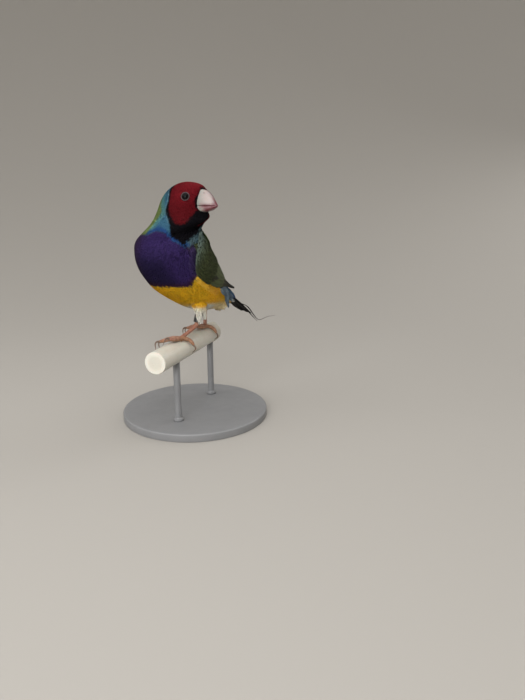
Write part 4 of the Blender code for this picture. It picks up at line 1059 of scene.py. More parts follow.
def cover(name, on, roots, way, out, size, colour, look, bake, draw, lift, shape="small", stray=0.12):
    """Small vanes laid on a surface on(p, q, height), one a root, each lying along its way.

    A vane of a given length and width follows the surface, from the first lift at its root to the
    second at its tip, which lies over its neighbours' roots. Across, it is cupped to the body's own
    curve. Way, size, tone, tip and height stray a little from one vane to the next.
    """
    rows, widths, x, fray = VANES[shape]
    (p, q), (long, wide) = roots, size
    count = len(p)
    start, along_p, along_q = stance(on, p, q)
    across = unit(np.cross(way, out))
    way = unit(way + across * draw.normal(0, stray, (count, 1)))
    across = unit(np.cross(way, out))
    pp, pq, qq = (dot(*pair)[:, 0] for pair in ((along_p, along_p), (along_p, along_q), (along_q, along_q)))
    aim_p, aim_q = dot(way, along_p)[:, 0], dot(way, along_q)[:, 0]
    det = pp * qq - pq**2
    growth = draw.uniform(1 - SIZE_STRAY, 1 + SIZE_STRAY, count)
    long = long * growth
    wide = wide * growth * draw.uniform(1 - WIDTH_STRAY, 1 + WIDTH_STRAY, count)
    step_p = (aim_p * qq - aim_q * pq) / det * long
    step_q = (aim_q * pp - aim_p * pq) / det * long
    for _ in range(4):
        run = np.linalg.norm(on(p + step_p, q + step_q, 0.0) - start, axis=-1)
        share = np.clip(long / np.maximum(run, 1e-6), 0.3, 1.15)
        step_p, step_q = step_p * share, step_q * share
    t = np.array(rows)[None, :, None]
    x = x[None, None, :]
    ragged = draw.uniform(-fray, fray, (count, 1, x.shape[2])) * t**2
    reach = t * (1 - TIP_ROUND * x * x * t) + ragged
    at_p = p[:, None, None] + step_p[:, None, None] * reach
    at_q = q[:, None, None] + step_q[:, None, None] * reach
    root, tip = (np.broadcast_to(height, count)[:, None, None] for height in lift)
    height = root + (tip - root) * t**0.5 - draw.uniform(0.0, HEIGHT_STRAY, count)[:, None, None] * t
    half = (wide / 2)[:, None, None] * np.array(widths)[None, :, None]
    sag = -CUP * half * x * x - (half * x) ** 2 / BODY_CURVE
    offset = (half * x)[..., None] * across[:, None, None]
    top = on(at_p, at_q, height) + offset + sag[..., None] * out[:, None, None]
    under = top - VANE_THICK * out[:, None, None]
    colour = colour * draw.uniform(1 - TONE_STRAY, 1 + TONE_STRAY, (count, 1))
    colour = colour * (1 + draw.normal(0, COLOUR_STRAY, (count, 3)))
    # painted shade: each vane darker towards its root, under its neighbours, and a little lighter towards its
    # edges
    painted_shade = 0.90 + 0.10 * rise(0.1, 0.75, t) + 0.03 * np.abs(x)
    tints = colour[:, None, None] * painted_shade[..., None] + np.zeros(top.shape)
    return feathers(name, top, under, tints, look, bake)


def flat_on(way, out):
    """A direction laid flat on the surface that faces out."""
    return unit(way - dot(way, out) * out)


def flow(place, out, along):
    """Direction in which the body's feathers lie: away from the bill over the face and crown, then
    down the neck and along the trunk to the tail, always flat on the skin."""
    from_bill = place - BILL_HEART
    far = rise(*TURN_REACH, np.linalg.norm(from_bill, axis=-1))[..., None]
    return flat_on(unit(from_bill) * (1 - far) + unit(along) * far, out)


def spread(s_range, spacing):
    """Section and angle of roots set evenly by the body's own area."""
    table, turns = np.linspace(max(s_range[0], 0.004), s_range[1], 80), np.linspace(-math.pi, math.pi, 181)
    points = body(*np.meshgrid(table, turns, indexing="ij"))
    square = np.cross(np.gradient(points, table, axis=0), np.gradient(points, turns, axis=1))
    patch = np.linalg.norm(square, axis=-1)
    share = np.cumsum((patch[:, 1:] + patch[:, :-1]) / 2 * (turns[1] - turns[0]), axis=1)
    share = np.concatenate([0 * share[:, :1], share], 1)
    area = np.r_[0, np.cumsum((share[1:, -1] + share[:-1, -1]) / 2 * np.diff(table))]
    first, second = sequence(int(area[-1] / spacing**2))
    s = np.interp(first, area / area[-1], table)
    row = np.rint((s - table[0]) / (table[1] - table[0]))
    marks = share / share[:, -1:] * 0.999999 + np.arange(len(table))[:, None]
    return s, np.interp(row + second, marks.ravel(), np.tile(turns, len(table)))


def lie(s, phi):
    """Roots on the plane that trunk() works on, with their places, the ways straight out of the body
    and the ways along it."""
    a, b = np.sqrt(s) * np.cos(phi), np.sqrt(s) * np.sin(phi)
    place, along_a, along_b = stance(trunk, a, b)
    middle = (body(s, 0 * s) + body(s, 0 * s + math.pi)) / 2
    out = unit(np.cross(along_b, along_a))
    out = out * np.sign(dot(out, place - middle))
    return (a, b), place, out, (along_a * a[:, None] + along_b * b[:, None]) / np.sqrt(s)[:, None]


def bake_place(s, phi):
    """A root's place in the map for baking, by its angle round the body and its section."""
    return np.stack([phi / (2 * math.pi) + 0.5, s / TAIL_END], -1)


def bill_round(points):
    """How far each point lies out from the bill's middle line, 1 being the bill's own surface."""
    f, side, z = in_head(points)
    tall = np.where(z > GAPE_Z, profile_at(CULMEN, f) - GAPE_Z, GAPE_Z - profile_at(KEEL, f))
    return (np.abs(side) / bill_half(f)) ** 2 + (np.abs(z - GAPE_Z) / tall) ** 2.2


def tract(name, s_range, spacing, size, look, seed, skip=None):
    """One tract of the coat between two sections, coloured by where each vane's tip lies; the lores
    round the bill are black."""
    draw = np.random.default_rng(seed)
    s, phi = spread(s_range, spacing)
    keep = ~skip(s, phi) if skip else s > 0
    s, phi = s[keep], phi[keep]
    roots, place, out, along = lie(s, phi)
    way = flow(place, out, along)
    seen = place + way * size[0] * 0.7 + draw.normal(0, TIP_STRAY, place.shape)
    f, _, z = in_head(seen)
    lores = rise(0.15, -0.15, bill_round(seen) - 1.25 - 0.55 * rise(69, 66, z)) * rise(6, 7, f)
    colour = laid(plumage(seen), JET, lores)
    lift = (-ROOT_UNDER * np.interp(s, DOWN_AT, DOWN_DEPTH), 0.0)
    made = cover(name, trunk, roots, way, out, size, colour, look, bake_place(s, phi), draw, lift)


def bare(s, phi):
    """Roots that would grow on the bill or on the ring of the eye."""
    place = body(s, phi)
    found = (bill_round(place) < 0.9) & (in_head(place)[0] > 7.6)
    for side in (-1, 1):
        aside, ahead = from_eye(place, *eye_place(side))
        found |= (aside < LID_MIDDLE + 0.2) & (ahead > -2)
    return found


def under_wing(s, phi):
    """Roots that the folded wings hide."""
    first, last, degrees = UNDER_WING
    return (s > first) & (s < last) & (np.abs(np.degrees(phi)) > degrees)


fine = feather_look("face_feathers", 5.0, 0.62, relief=0.03)
silky = feather_look("body_feathers", 8.0, 0.58)
loose = feather_look("belly_feathers", 7.0, 0.66)
COAT = {
    # sections, spacing, length and width, finish, roots left out
    "coat_crown": ((0.0, 2.0), 0.30, (1.5, 0.46), fine, bare),
    "coat_cheeks": ((2.0, 3.3), 0.31, (1.6, 0.48), fine, bare),
    "coat_throat": ((3.3, 4.5), 0.36, (2.0, 0.6), fine, bare),
    "coat_collar": ((4.5, 5.7), 0.42, (2.7, 0.8), silky, None),
    "coat_shoulders": ((5.7, 6.8), 0.42, (3.0, 0.9), silky, under_wing),
    "coat_breast": ((6.8, 8.2), 0.42, (3.3, 0.95), silky, under_wing),
    "coat_belly": ((8.2, 9.8), 0.42, (3.7, 0.95), loose, under_wing),
    "coat_vent": ((9.8, 11.2), 0.42, (3.6, 0.8), loose, None),
}
for seed, (name, (sections, spacing, size, look, skip)) in enumerate(COAT.items()):
    tract(name, sections, spacing, size, look, 100 + seed, skip)

# ------------------------------------------------------------------------------ rump
# A loose tuft of long blue-grey feathers on the left side of the rump. It rises below the folded wing
# and falls over the flank towards the tail.
RUMP_LINE = np.array([(12.4, 8.6, 24.6), (8.2, 15.4, 20.4)])
RUMP_REACH = 2.0  # how far from that line its feathers root
RUMP_FALL = np.array([-0.2, 0.5, -0.85])
RUMP_DARK = srgb(52, 66, 104)


def rump_tints(place, draw):
    """Blue-grey, darkened by a share drawn for each feather."""
    return laid(RUMP_BLUE + 0 * place, RUMP_DARK, draw.uniform(0, 0.7, len(place)))


draw = np.random.default_rng(170)
s, phi = spread((8.6, 11.1), 0.36)
apart = body(s, phi) - RUMP_LINE[0]
step = RUMP_LINE[1] - RUMP_LINE[0]
share = np.clip(apart @ step / (step @ step), 0, 1)
close = np.linalg.norm(apart - share[:, None] * step, axis=-1) < RUMP_REACH
s, phi = s[close], phi[close]
roots, place, out, along = lie(s, phi)
way = flat_on(RUMP_FALL + 0 * place, out)
colour = rump_tints(place, draw)
lift = (-0.6, 1.2)
rump = cover("coat_rump", trunk, roots, way, out, (6.0, 0.9), colour, loose, bake_place(s, phi), draw, lift)

# ------------------------------------------------------------------------------ mantle
# The feathers of the back between the wings. They are rooted in the skin along the spine and lap over
# the inner edges of both wings, turning from the nape's green, painted lighter there as a highlight of
# rim light, to the wings' olive.
MANTLE_SECTIONS = (5.0, 5.5, 6.0, 6.6, 7.3, 8.2, 10.0)
MANTLE_LEFT = (40, 56, 52, 38, 24, 18, 13)  # degrees from the spine at them
MANTLE_RIGHT = (52, 66, 62, 46, 28, 18, 13)
MANTLE_TAPER = 20.0  # degrees over which its right front corner sinks to the body
MANTLE_RISE = 2.3
ROOT_DEPTH = 1.5  # how far the roots lie below the tips

draw = np.random.default_rng(180)
s, phi = spread((5.0, 10.0), 0.4)
from_spine = 180 - np.abs(np.degrees(phi))
left, right = (np.interp(s, MANTLE_SECTIONS, edge) for edge in (MANTLE_LEFT, MANTLE_RIGHT))
reach = np.where(phi > 0, left, right)
keep = from_spine < reach
s, phi, inside = s[keep], phi[keep], (reach - from_spine)[keep]
roots, place, out, along = lie(s, phi)
way = flow(place, out, along)
colour = laid(plumage(place + way * 2.0), MANTLE_GREEN, rise(5.5, 6.5, s))
colour = laid(colour, WING_OLIVE, rise(7.4, 9.0, s) * draw.uniform(0.3, 0.9, len(s)))
taper = np.maximum(MANTLE_TAPER - MANTLE_TAPER * rise(5.8, 6.3, s), 1e-6)
raised = np.where(phi > 0, rise(5.0, 6.5, s), rise(4.8, 6.0, s) * rise(0, taper, inside))
tip = 0.1 + MANTLE_RISE * raised - 0.5 * rise(9.0, 10.0, s)
mantle = cover(
    "coat_mantle", trunk, roots, way, out, (3.4, 0.95), colour, silky, bake_place(s, phi), draw,
    (tip - ROOT_DEPTH, tip), stray=0.1,
)

# ------------------------------------------------------------------------------ forehead
# The shortest feathers of all: a red wedge of them runs from the forehead on to the root of the bill's
# ridge, and has black edges.
WEDGE_FROM = 6.9
WEDGE_LENGTH = 6.0
WEDGE_HALF_WIDTH = 3.3


def bill_top(p, q, over):
    """Top of the bill: p along the head's front, q to its left, over it by a height."""
    beside = np.clip(np.abs(q) / bill_half(p), 0, 0.98) ** (1 / 0.85)
    return head_place(p, q, GAPE_Z + (profile_at(CULMEN, p) - GAPE_Z) * (1 - beside**2) ** 0.45 + over)


draw = np.random.default_rng(150)
first, second = sequence(800)
p = WEDGE_FROM + WEDGE_LENGTH * first
reach = WEDGE_HALF_WIDTH * (1 - (p - WEDGE_FROM) / (WEDGE_LENGTH + 0.3)) ** 0.8
q = reach * (second * 2 - 1)
place, along, out = facing(bill_top, p, q)
colour = laid(MASK_DARK + 0 * place, JET, rise(0.62, 0.8, np.abs(q) / reach))
bake = np.stack([0.3 + 0.4 * second, 0.02 + 0.05 * first], -1)
size, lift = (1.5, 0.46), (0.02, 0.42)
wedge = cover("coat_forehead", bill_top, (p, q), unit(-along), out, size, colour, fine, bake, draw, lift)

# ------------------------------------------------------------------------------ thighs
# Loose white down over both thighs, yellow where it meets the belly, with a tuft that hangs behind the
# left leg and more of it over the leg ring. The rump's tuft ends in the same long plumes.
HANGING = {
    # x, y, z and radius of the down over half of the leg ring, and of the end of the rump's tuft
    "near": ((7.8, -2.2, 15.0, 2.4), (8.9, -2.9, 11.5, 1.7), (9.4, -3.1, 8.6, 1.15), (9.6, -3.0, 6.0, 0.45)),
    "rump": ((9.8, 12.9, 22.6, 1.3), (8.7, 14.9, 19, 1.35), (7.6, 16.7, 15.2, 0.95), (6.8, 18.2, 11.4, 0.25)),
}
RING_MIDDLE = np.array([8.03, -2.98, 8.55])
RING_CLEARANCE = 1.8  # no plume roots nearer to the ring's middle
PLUMES = {"left": 2300, "right": 2300, "tuft": 800, "near": 1700, "rump": 500}
PLUME_SIZE = (2.8, 0.42)
PAST_END = 14.0  # one length of thigh, where a plume runs on straight past its end


def thigh(word):
    """Surface of a feathered thigh: share of its length from the trunk to the heel, and angle round it."""
    spots = np.array((THIGHS | HANGING)[word])

    def on(t, angle, over):
        line, ahead, before = (
            spline(spots, np.clip(at, 0, 1) * (len(spots) - 1)) for at in (t, t + 0.01, t - 0.01)
        )
        along = unit((ahead - before)[..., :3])
        side = unit(np.cross(along, SIDE_OF_TUBE))
        ring = side * np.cos(angle)[..., None] + np.cross(side, along) * np.sin(angle)[..., None]
        beyond = np.maximum(t - 1, 0)[..., None] * PAST_END * along
        return line[..., :3] + beyond + ring * (line[..., 3] + over)[..., None]

    return on


for seed, (word, count) in enumerate(PLUMES.items()):
    draw = np.random.default_rng(200 + seed)
    first, second = sequence(count)
    t = 1 - (1 - first) ** 0.8
    angle = second * 2 * math.pi
    on = thigh(word)
    place, along, out = facing(on, t, angle)
    height = place[:, 2]
    colour = laid(VENT_WHITE, YELLOW_PALE, rise(12, 19, height) * 0.5)
    colour = laid(colour, YELLOW, rise(15.4, 17.2, height + draw.normal(0, 0.3, count)))
    pick = t < 0.97
    if word == "rump":
        colour = rump_tints(place, draw)
    else:
        pick &= height < 20
    if word == "near":
        pick &= np.linalg.norm((place - RING_MIDDLE)[:, :2], axis=-1) > RING_CLEARANCE
    bake = np.stack([0.02 + 0.17 * second + 0.2 * seed, 0.93 + 0.05 * first], -1)
    made = cover(
        "coat_rump_end" if word == "rump" else "coat_thigh_" + word, on, (t[pick], angle[pick]),
        unit(along)[pick], out[pick], PLUME_SIZE, colour[pick], loose, bake[pick], draw, (-0.6, 0.15),
        "plume", 0.22,
    )

# ------------------------------------------------------------------------------ wings
# Two folded wings laid on the back: a bed of small coverts, then greater coverts, tertials,
# secondaries and primaries as single stiff vanes, each one over the next one below it. The flank's
# feathers lap over their front edges.
WING_LOW = ((5.9, 90), (6.8, 87), (7.6, 81), (8.4, 83), (9.2, 92), (9.9, 108))  # section, degrees round
WING_HIGH = ((5.6, 132), (6.4, 160), (7.2, 173), (8.1, 175.5), (8.9, 176), (9.6, 176))
WING_LOW_END = ((4.6, 20.6, 20.6), (2.7, 25.2, 19.9))
WING_HIGH_END = ((1.1, 21.3, 23.2), (2.2, 25.6, 20.7))
WING_FLOOR = 0.52  # underside of the folded wing over the body
WING_GRID = (121, 61)
BODY_GRID = (110, 72)
BED_END = 0.8  # the bed of coverts ends at this share of the wing
WING_GREEN = srgb(72, 80, 50)
WING_SEA = srgb(96, 114, 110)
QUILL_BLACK = srgb(30, 27, 24)
QUILL_EDGE = srgb(126, 120, 78)
# painted shadow along the wing's front edge
FLANK_EDGE_SHADOW = srgb(32, 28, 34)


def wing_tables():
    """Base points and outward directions of the left wing's own net, from its edge lines: straight
    from the lower edge to the upper one, and pushed out onto the body wherever that lies inside it."""
    edges = []
    for marks, ends in ((WING_LOW, WING_LOW_END), (WING_HIGH, WING_HIGH_END)):
        s, degrees = np.array(marks, float).T
        edges.append(np.concatenate([body(s, np.radians(degrees)), ends]))
    at = np.linspace(0, len(edges[0]) - 1, WING_GRID[0])
    low, high = (spline(edge, at)[:, None] for edge in edges)
    points = low + (high - low) * np.linspace(0, 1, WING_GRID[1])[None, :, None]
    own = unit(np.cross(np.gradient(points, axis=0), high - low))
    sections, turns = np.linspace(4.5, 11.8, BODY_GRID[0]), np.linspace(0, math.pi, BODY_GRID[1])
    skin_at = body(*np.meshgrid(sections, turns, indexing="ij"))
    normal = unit(np.cross(np.gradient(skin_at, axis=1), np.gradient(skin_at, axis=0)))
    normal *= np.sign(dot(normal, skin_at - skin_at.mean(1, keepdims=True)).mean())
    skin_at, normal, flat = skin_at.reshape(-1, 3), normal.reshape(-1, 3), points.reshape(-1, 3)
    near = ((skin_at**2).sum(1)[None] - 2 * flat @ skin_at.T).argmin(1)
    skin_at, normal = skin_at[near], normal[near]
    base = flat - normal * np.minimum(dot(flat - skin_at, normal), 0)
    touching = np.exp(-((np.linalg.norm(base - skin_at, axis=-1, keepdims=True) / 2) ** 2))
    own = own.reshape(-1, 3)
    own = own * np.where(dot(own, normal) < 0, -1, 1)
    out = unit(own * (1 - touching) + normal * touching)
    shape = (*WING_GRID, 3)
    return base.reshape(shape), out.reshape(shape), np.linalg.norm(high - low, axis=-1)[:, 0]


WING_BASE, WING_OUT, WING_SPAN = wing_tables()


def read(table, u, v):
    """Value of a table over the unit square between its nearest four entries."""
    i = np.clip(u, 0, 1) * (WING_GRID[0] - 1)
    j = np.clip(v, 0, 1) * (WING_GRID[1] - 1)
    m, n = np.minimum(i.astype(int), WING_GRID[0] - 2), np.minimum(j.astype(int), WING_GRID[1] - 2)
    x, y = (i - m)[..., None], (j - n)[..., None]
    first = table[m, n] * (1 - y) + table[m, n + 1] * y
    second = table[m + 1, n] * (1 - y) + table[m + 1, n + 1] * y
    return first * (1 - x) + second * x


def wing(u, v, lift):
    """Left wing: u from shoulder to tip, v from its lower to its upper edge, lift over the body; it
    carries on straight past its edges."""
    base = read(WING_BASE, u, v)
    step = 0.02
    past_u = (u - np.clip(u, 0, 1))[..., None]
    past_v = (v - np.clip(v, 0, 1))[..., None]
    along_u = read(WING_BASE, np.clip(u, step, 1), v) - read(WING_BASE, np.clip(u, step, 1) - step, v)
    low = np.clip(v, step, 1 - step)
    along_v = read(WING_BASE, u, low + step) - read(WING_BASE, u, low - step)
    lift = np.asarray(lift, float)[..., None] + np.zeros(base.shape)
    return base + along_u * past_u / step + along_v * past_v / (2 * step) + read(WING_OUT, u, v) * lift


def vane_widths(t, point):
    """Half-width of a vane along its length, 1 at its widest; point makes the end more pointed."""
    tip = 1 - np.clip((t - 0.55) / 0.45, 0, 1) ** (2.2 / point)
    return np.minimum(0.5 + 1.2 * t, 1.0) * np.sqrt(np.maximum(tip, 0.004))


QUILLS = {
    # how many, width, point; start (u, v) and step of v; end (u, v) and its step; lifts and last one's step
    "primary_coverts": (5, 3.0, 1.2, (0.24, 0.03), 0.035, (0.50, 0.06), (0.012, 0.045), (0.8, 1.25, 0.03)),
    "primaries": (7, 3.8, 0.85, (0.44, 0.10), 0.07, (1.0, 0.42), (-0.028, 0.03), (0.85, 1.05, 0.10)),
    "secondaries": (6, 5.0, 1.5, (0.34, 0.12), 0.09, (0.66, 0.12), (0.022, 0.11), (0.95, 1.42, 0.05)),
    "tertials": (3, 6.0, 1.4, (0.33, 0.62), 0.12, (0.80, 0.68), (-0.06, 0.12), (1.0, 1.75, 0.08)),
    "greater_coverts": (9, 4.6, 1.5, (0.18, 0.07), 0.103, (0.46, 0.05), (0.004, 0.108), (0.9, 1.60, 0.02)),
    "median_coverts": (9, 4.2, 1.6, (0.08, 0.08), 0.105, (0.30, 0.06), (0.0, 0.108), (0.9, 1.65, 0.01)),
}
QUILL_ROWS = 25
QUILL_ACROSS = 13
QUILL_THICK = 0.14
SPLITS = 4  # places where the barbs of a vane part
SPLIT_WIDTH = 0.018  # half-width of one, as a share of the vane's length
BARB_SLANT = 0.05  # how far the barbs run on towards the tip, as a share of it


def quills(kind, draw):
    """Upper and under sides and tints of one row of wing vanes, the lowest first; each outer edge
    rides over the vane below, and a few splits run in from the edges along the barbs."""
    count, width, point, start, start_step, end, end_step, lifts = QUILLS[kind]
    n = np.arange(count)[:, None, None]
    t = (1 - (1 - np.linspace(0, 1, QUILL_ROWS)) ** 1.25)[None, :, None]
    x = np.linspace(-1, 1, QUILL_ACROSS)[None, None, :]
    stray = draw.normal(0, 1, (4, count, 1, 1))
    u0, v0 = start[0], start[1] + start_step * n
    u1, v1 = (end[k] + end_step[k] * n + 0.008 * stray[k] for k in (0, 1))
    half = width / 2 * vane_widths(t, point) * (1 + 0.04 * stray[2])
    splits = draw.uniform(0.35, 0.97, (count, SPLITS))
    deep = draw.uniform(0.05, 0.22, (count, SPLITS))
    sides = draw.choice([-1, 1], (count, SPLITS))
    cut = 0 * (t + x + n)
    for k in range(SPLITS):
        at, depth, way = (drawn[:, k, None, None] for drawn in (splits, deep, sides))
        swept = t - at - BARB_SLANT * (1 - np.abs(x))
        cut = cut + depth * np.exp(-((swept / SPLIT_WIDTH) ** 2)) * rise(0.55, 1.0, x * way)
    u = u0 + (u1 - u0) * (t + 0.016 * (1 - x * x) * rise(0.8, 1, t) - 0.02 * cut)
    span = np.interp(np.clip(u, 0, 1), np.linspace(0, 1, WING_GRID[0]), WING_SPAN)
    v = v0 + (v1 - v0) * t + x * (1 - cut) * half / span
    lean = -0.17 * x * np.minimum(1, half / 2)
    shaft = 0.07 * np.exp(-(((x + 0.15) / 0.10) ** 2)) * (1 - 0.7 * t)
    wave = 0.03 * np.sin(t * 19 + x * 3 + n * 2.1)
    lift = lifts[0] + (lifts[1] + lifts[2] * n - lifts[0]) * t + lean + 0.12 * (1 - x * x) + shaft + wave
    green = laid(WING_GREEN, WING_SEA, rise(0.55, 0.05, u) * 0.45 + 0 * x)
    tint = laid(green, WING_OLIVE, rise(-0.5, 0.5, x) * 0.75 + 0 * u)
    if kind in ("primaries", "primary_coverts"):
        black = np.maximum(rise(-0.75, -0.4, x) * 0.5, rise(0.62, 0.8, u))
        tint = laid(WING_OLIVE + 0 * tint, QUILL_BLACK, black)
        tint = laid(tint, QUILL_EDGE, rise(-0.82, -0.94, x) * rise(0.9, 0.7, u) * 0.7)
    else:
        tint = laid(tint, QUILL_EDGE, rise(0.88, 0.98, np.maximum(t, np.abs(x)) + 0 * u) * 0.35)
    # painted shade: each quill darker towards its root, under the vanes above it, and along its splits
    tone = 0.85 * (1 + 0.07 * stray[3]) * (0.8 + 0.2 * rise(0.0, 0.5, t)) * (1 - 0.25 * cut)
    return wing(u, v, lift), wing(u, v, lift - QUILL_THICK), tint * tone[..., None]


FLANK_ROWS = 74  # row of the wing's net at which the flank's feathers end
FLANK_FROM = {"left": 6.1, "right": 5.4}  # section at which they start
FLANK_REACH = (0.3, 3.1, 4.0)  # nearest, farthest and longest way from a root to the wing's edge


def flank_feathers(word, flip, draw):
    """Body feathers that rise from just before the folded wing's edge and lap over it, by each root's
    way to the nearest spot of that edge. On the right they also go round the wing's front."""
    edge, inner = (WING_BASE[FLANK_ROWS::-2, column] for column in (0, 3))
    if word == "right":
        edge = np.concatenate([edge, WING_BASE[0, ::4]])
        inner = np.concatenate([inner, WING_BASE[3, ::4]])
    edge, inner = edge * flip, inner * flip
    s, phi = spread((FLANK_FROM[word], 9.5), 0.42)
    side = phi * flip[0] > 0.7
    s, phi = s[side], phi[side]
    place = body(s, phi)
    near = np.linalg.norm(place[:, None] - edge[None], axis=-1).argmin(1)
    inward = unit(inner - edge)[near]
    before = dot(edge[near] - place, inward)[:, 0]
    keep = (before > FLANK_REACH[0]) & (before < FLANK_REACH[1])
    keep &= np.linalg.norm(edge[near] - place, axis=-1) < FLANK_REACH[2]
    s, phi, near, inward = s[keep], phi[keep], near[keep], inward[keep]
    roots, place, out, along = lie(s, phi)
    way = flat_on(unit(unit(along) * 0.8 + inward * 0.6), out)
    near_edge = rise(3.3, 1.0, dot(edge[near] - place, inward)[:, 0])
    colour = plumage(place + way * 2.0)
    # painted highlight: a pale yellow laid on the yellow flank feathers by the wing's edge
    colour = laid(colour, YELLOW_PALE, rise(6.5, 7.5, s) * rise(0.02, 0.2, colour[:, 0]) * 0.15)
    # painted shadow: a dark band on the breast's feathers just before the wing's front edge
    painted_shadow = rise(0.2, 0.02, colour[:, 0]) * rise(7.6, 6.9, s) * near_edge * 0.6
    colour = laid(colour, FLANK_EDGE_SHADOW, painted_shadow)
    tip = 0.15 + (1.1 + np.clip(dot(edge[near] - place, out)[:, 0], 0, 2.0)) * near_edge
    flank = cover(
        "coat_flank_" + word, trunk, roots, way, out, (3.5, 0.8), colour, loose, bake_place(s, phi), draw,
        (-0.9, tip),
    )


stiff = feather_look("wing_feathers", 42.0, 0.55, gloss=0.15, relief=0.04)
for seed, word in enumerate(("left", "right")):
    flip = np.array([1 if word == "left" else -1, 1, 1])
    draw = np.random.default_rng(300 + seed)
    rows = [quills(kind, draw) for kind in QUILLS]
    top, under, tints = (np.concatenate([row[k] for row in rows]) for k in range(3))
    vanes = feathers("wing_quills_" + word, top * flip, under * flip, tints, stiff)
    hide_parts("wing_" + word)
    u, v = np.meshgrid(np.linspace(0.0, BED_END, 48), np.linspace(0, 1, 25), indexing="ij")
    rim = np.clip(np.minimum(np.minimum(v, 1 - v) / 0.12, np.minimum(u, BED_END - u) / 0.08), 0, 1)
    top = wing(u, v, WING_FLOOR + 0.1 + 0.45 * np.sqrt(rim)) * flip
    under = wing(u, v, WING_FLOOR + 0 * u) * flip
    bed = feathers("wing_bed_" + word, top[None], under[None], WING_OLIVE + 0 * top[None], stiff)

    def wing_side(u, v, lift):
        return wing(u, v, lift) * flip

    first, second = sequence(2600)
    u = -0.03 + 0.47 * first
    v = -0.02 + 1.02 * second
    _, along, _ = stance(wing_side, u, v)
    out = read(WING_OUT, u, v) * flip
    colour = laid(WING_GREEN, WING_SEA, rise(0.26, 0.02, u + 0.12 * v) * 0.8)
    colour = laid(colour, WING_OLIVE, draw.uniform(0, 0.8, len(u)) * rise(0.0, 0.1, u))
    bake = np.stack([0.05 + 0.4 * second + 0.5 * seed, 0.02 + 0.5 * first], -1)
    lift = (0.85 + 0.6 * rise(0.0, 0.2, u), 1.15 + 0.95 * rise(0.0, 0.16, u))
    lesser = cover(
        "lesser_coverts_" + word, wing_side, (u, v), unit(along), out, (3.0, 0.95), colour, silky, bake,
        draw, lift, stray=0.1,
    )
    flank_feathers(word, flip, draw)

# ------------------------------------------------------------------------------ tail
# Twelve long quills folded into a narrow stack, worn and split at their ends; the middle two taper
# to bare hairs. Blue coverts lie over their roots, and white ones under them.
TAIL_ROOT = np.array([0.0, 15.0, 24.0])
TAIL_DROP = math.radians(40.0)
TAIL_BACK = np.array([0.0, math.cos(TAIL_DROP), -math.sin(TAIL_DROP)])
TAIL_UP = np.array([0.0, math.sin(TAIL_DROP), math.cos(TAIL_DROP)])
TAIL_SIDE = np.array([1.0, 0.0, 0.0])
TAIL_LENGTH = 31.0
TAIL_PAIRS = 5
TAIL_VANE_WIDTH = 4.0
TAIL_VANE_THICK = 0.12
TAIL_HALF_SPREAD = 2.7
TAIL_STEP = 0.42  # height from one pair of quills to the next
TAIL_JET = srgb(15, 13, 14)
TAIL_WORN = srgb(120, 112, 104)
WEAR = 6  # gaps worn into each quill's vane
WEAR_WIDTH = 0.016  # half-width of one, as a share of the quill's length
COVERT_BLUE = srgb(74, 104, 130)
COVERT_DARK = srgb(40, 52, 88)
PINS = {
    # spots along and over the tail's own line from the pin's root, and its half-width at them
    "left": ((0, 0.0), (12, 0.2), (22, 0.0), (28.5, -0.5), (33.5, -0.7)),
    "right": ((0, 0.0), (14, 0.3), (21, 1.9), (26.5, 1.7)),
}
HAIR = ((-0.6, 46.0, -0.3), (-0.6, 52.0, 0.0), (-0.6, 59.5, 0.1))


def tail_place(x, along, lift):
    """Point of the tail: how far to the left, along it and over its middle plane."""
    x, along, lift = (np.asarray(value, float)[..., None] for value in np.broadcast_arrays(x, along, lift))
    return TAIL_ROOT + TAIL_SIDE * x + TAIL_BACK * along + TAIL_UP * lift


tail_look = feather_look("tail_feathers", 60.0, 0.5, gloss=0.15, relief=0.04)
draw = np.random.default_rng(400)
count = TAIL_PAIRS * 2
order = np.arange(count)[:, None, None]
i, side = order // 2, np.where(order % 2 > 0, 1.0, -1.0)
t = (1 - (1 - np.linspace(0, 1, 40)) ** 1.2)[None, :, None]
x = np.linspace(-1, 1, 15)[None, None, :]
stray = draw.normal(0, 1, (3, count, 1, 1))
reach = TAIL_LENGTH - 1.5 * (TAIL_PAIRS - 1 - i) + 0.3 * stray[0]
half = TAIL_VANE_WIDTH / 2 * vane_widths(t, 0.62) * (1 + 0.04 * stray[1])
worn = 0 * (t + x + order)
for _ in range(WEAR):
    at = draw.uniform(0.55, 0.99, (count, 1, 1))
    way = draw.choice([-1, 1], (count, 1, 1))
    deep = draw.uniform(0.2, 0.75, (count, 1, 1))
    swept = t - at - BARB_SLANT * (1 - np.abs(x))
    worn = worn + deep * np.exp(-((swept / WEAR_WIDTH) ** 2)) * rise(0.2, 1.0, x * way)
along = reach * (t - 0.02 * worn) + 0.9 * (1 - x * x) * rise(0.85, 1, t)
fan = side * TAIL_HALF_SPREAD * (1 - i / TAIL_PAIRS)
across = x * (1 - np.minimum(worn, 1.1) * 0.8) * half
sideways = fan * 0.45 + along * np.sin(fan * 0.75 / TAIL_LENGTH) + across
lift = -1.1 + TAIL_STEP * i + 0.11 * (side > 0) - 0.06 * np.abs(sideways) + 0.35 * (1 - x * x)
lift = lift + 0.08 * np.exp(-((x / 0.09) ** 2)) * (1 - 0.7 * t) + 0.05 * np.sin(t * 13 + 2 * order)
top = tail_place(sideways, along, lift)
under = tail_place(sideways, along, lift - TAIL_VANE_THICK)
pale = rise(0.82, 0.97, np.abs(x)) * 0.12 + 0.05 * np.clip(worn, 0, 1)
tints = laid(TAIL_JET + 0 * top, TAIL_WORN, pale)
rectrices = feathers("tail_quills", top, under, tints, tail_look)
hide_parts("tail")

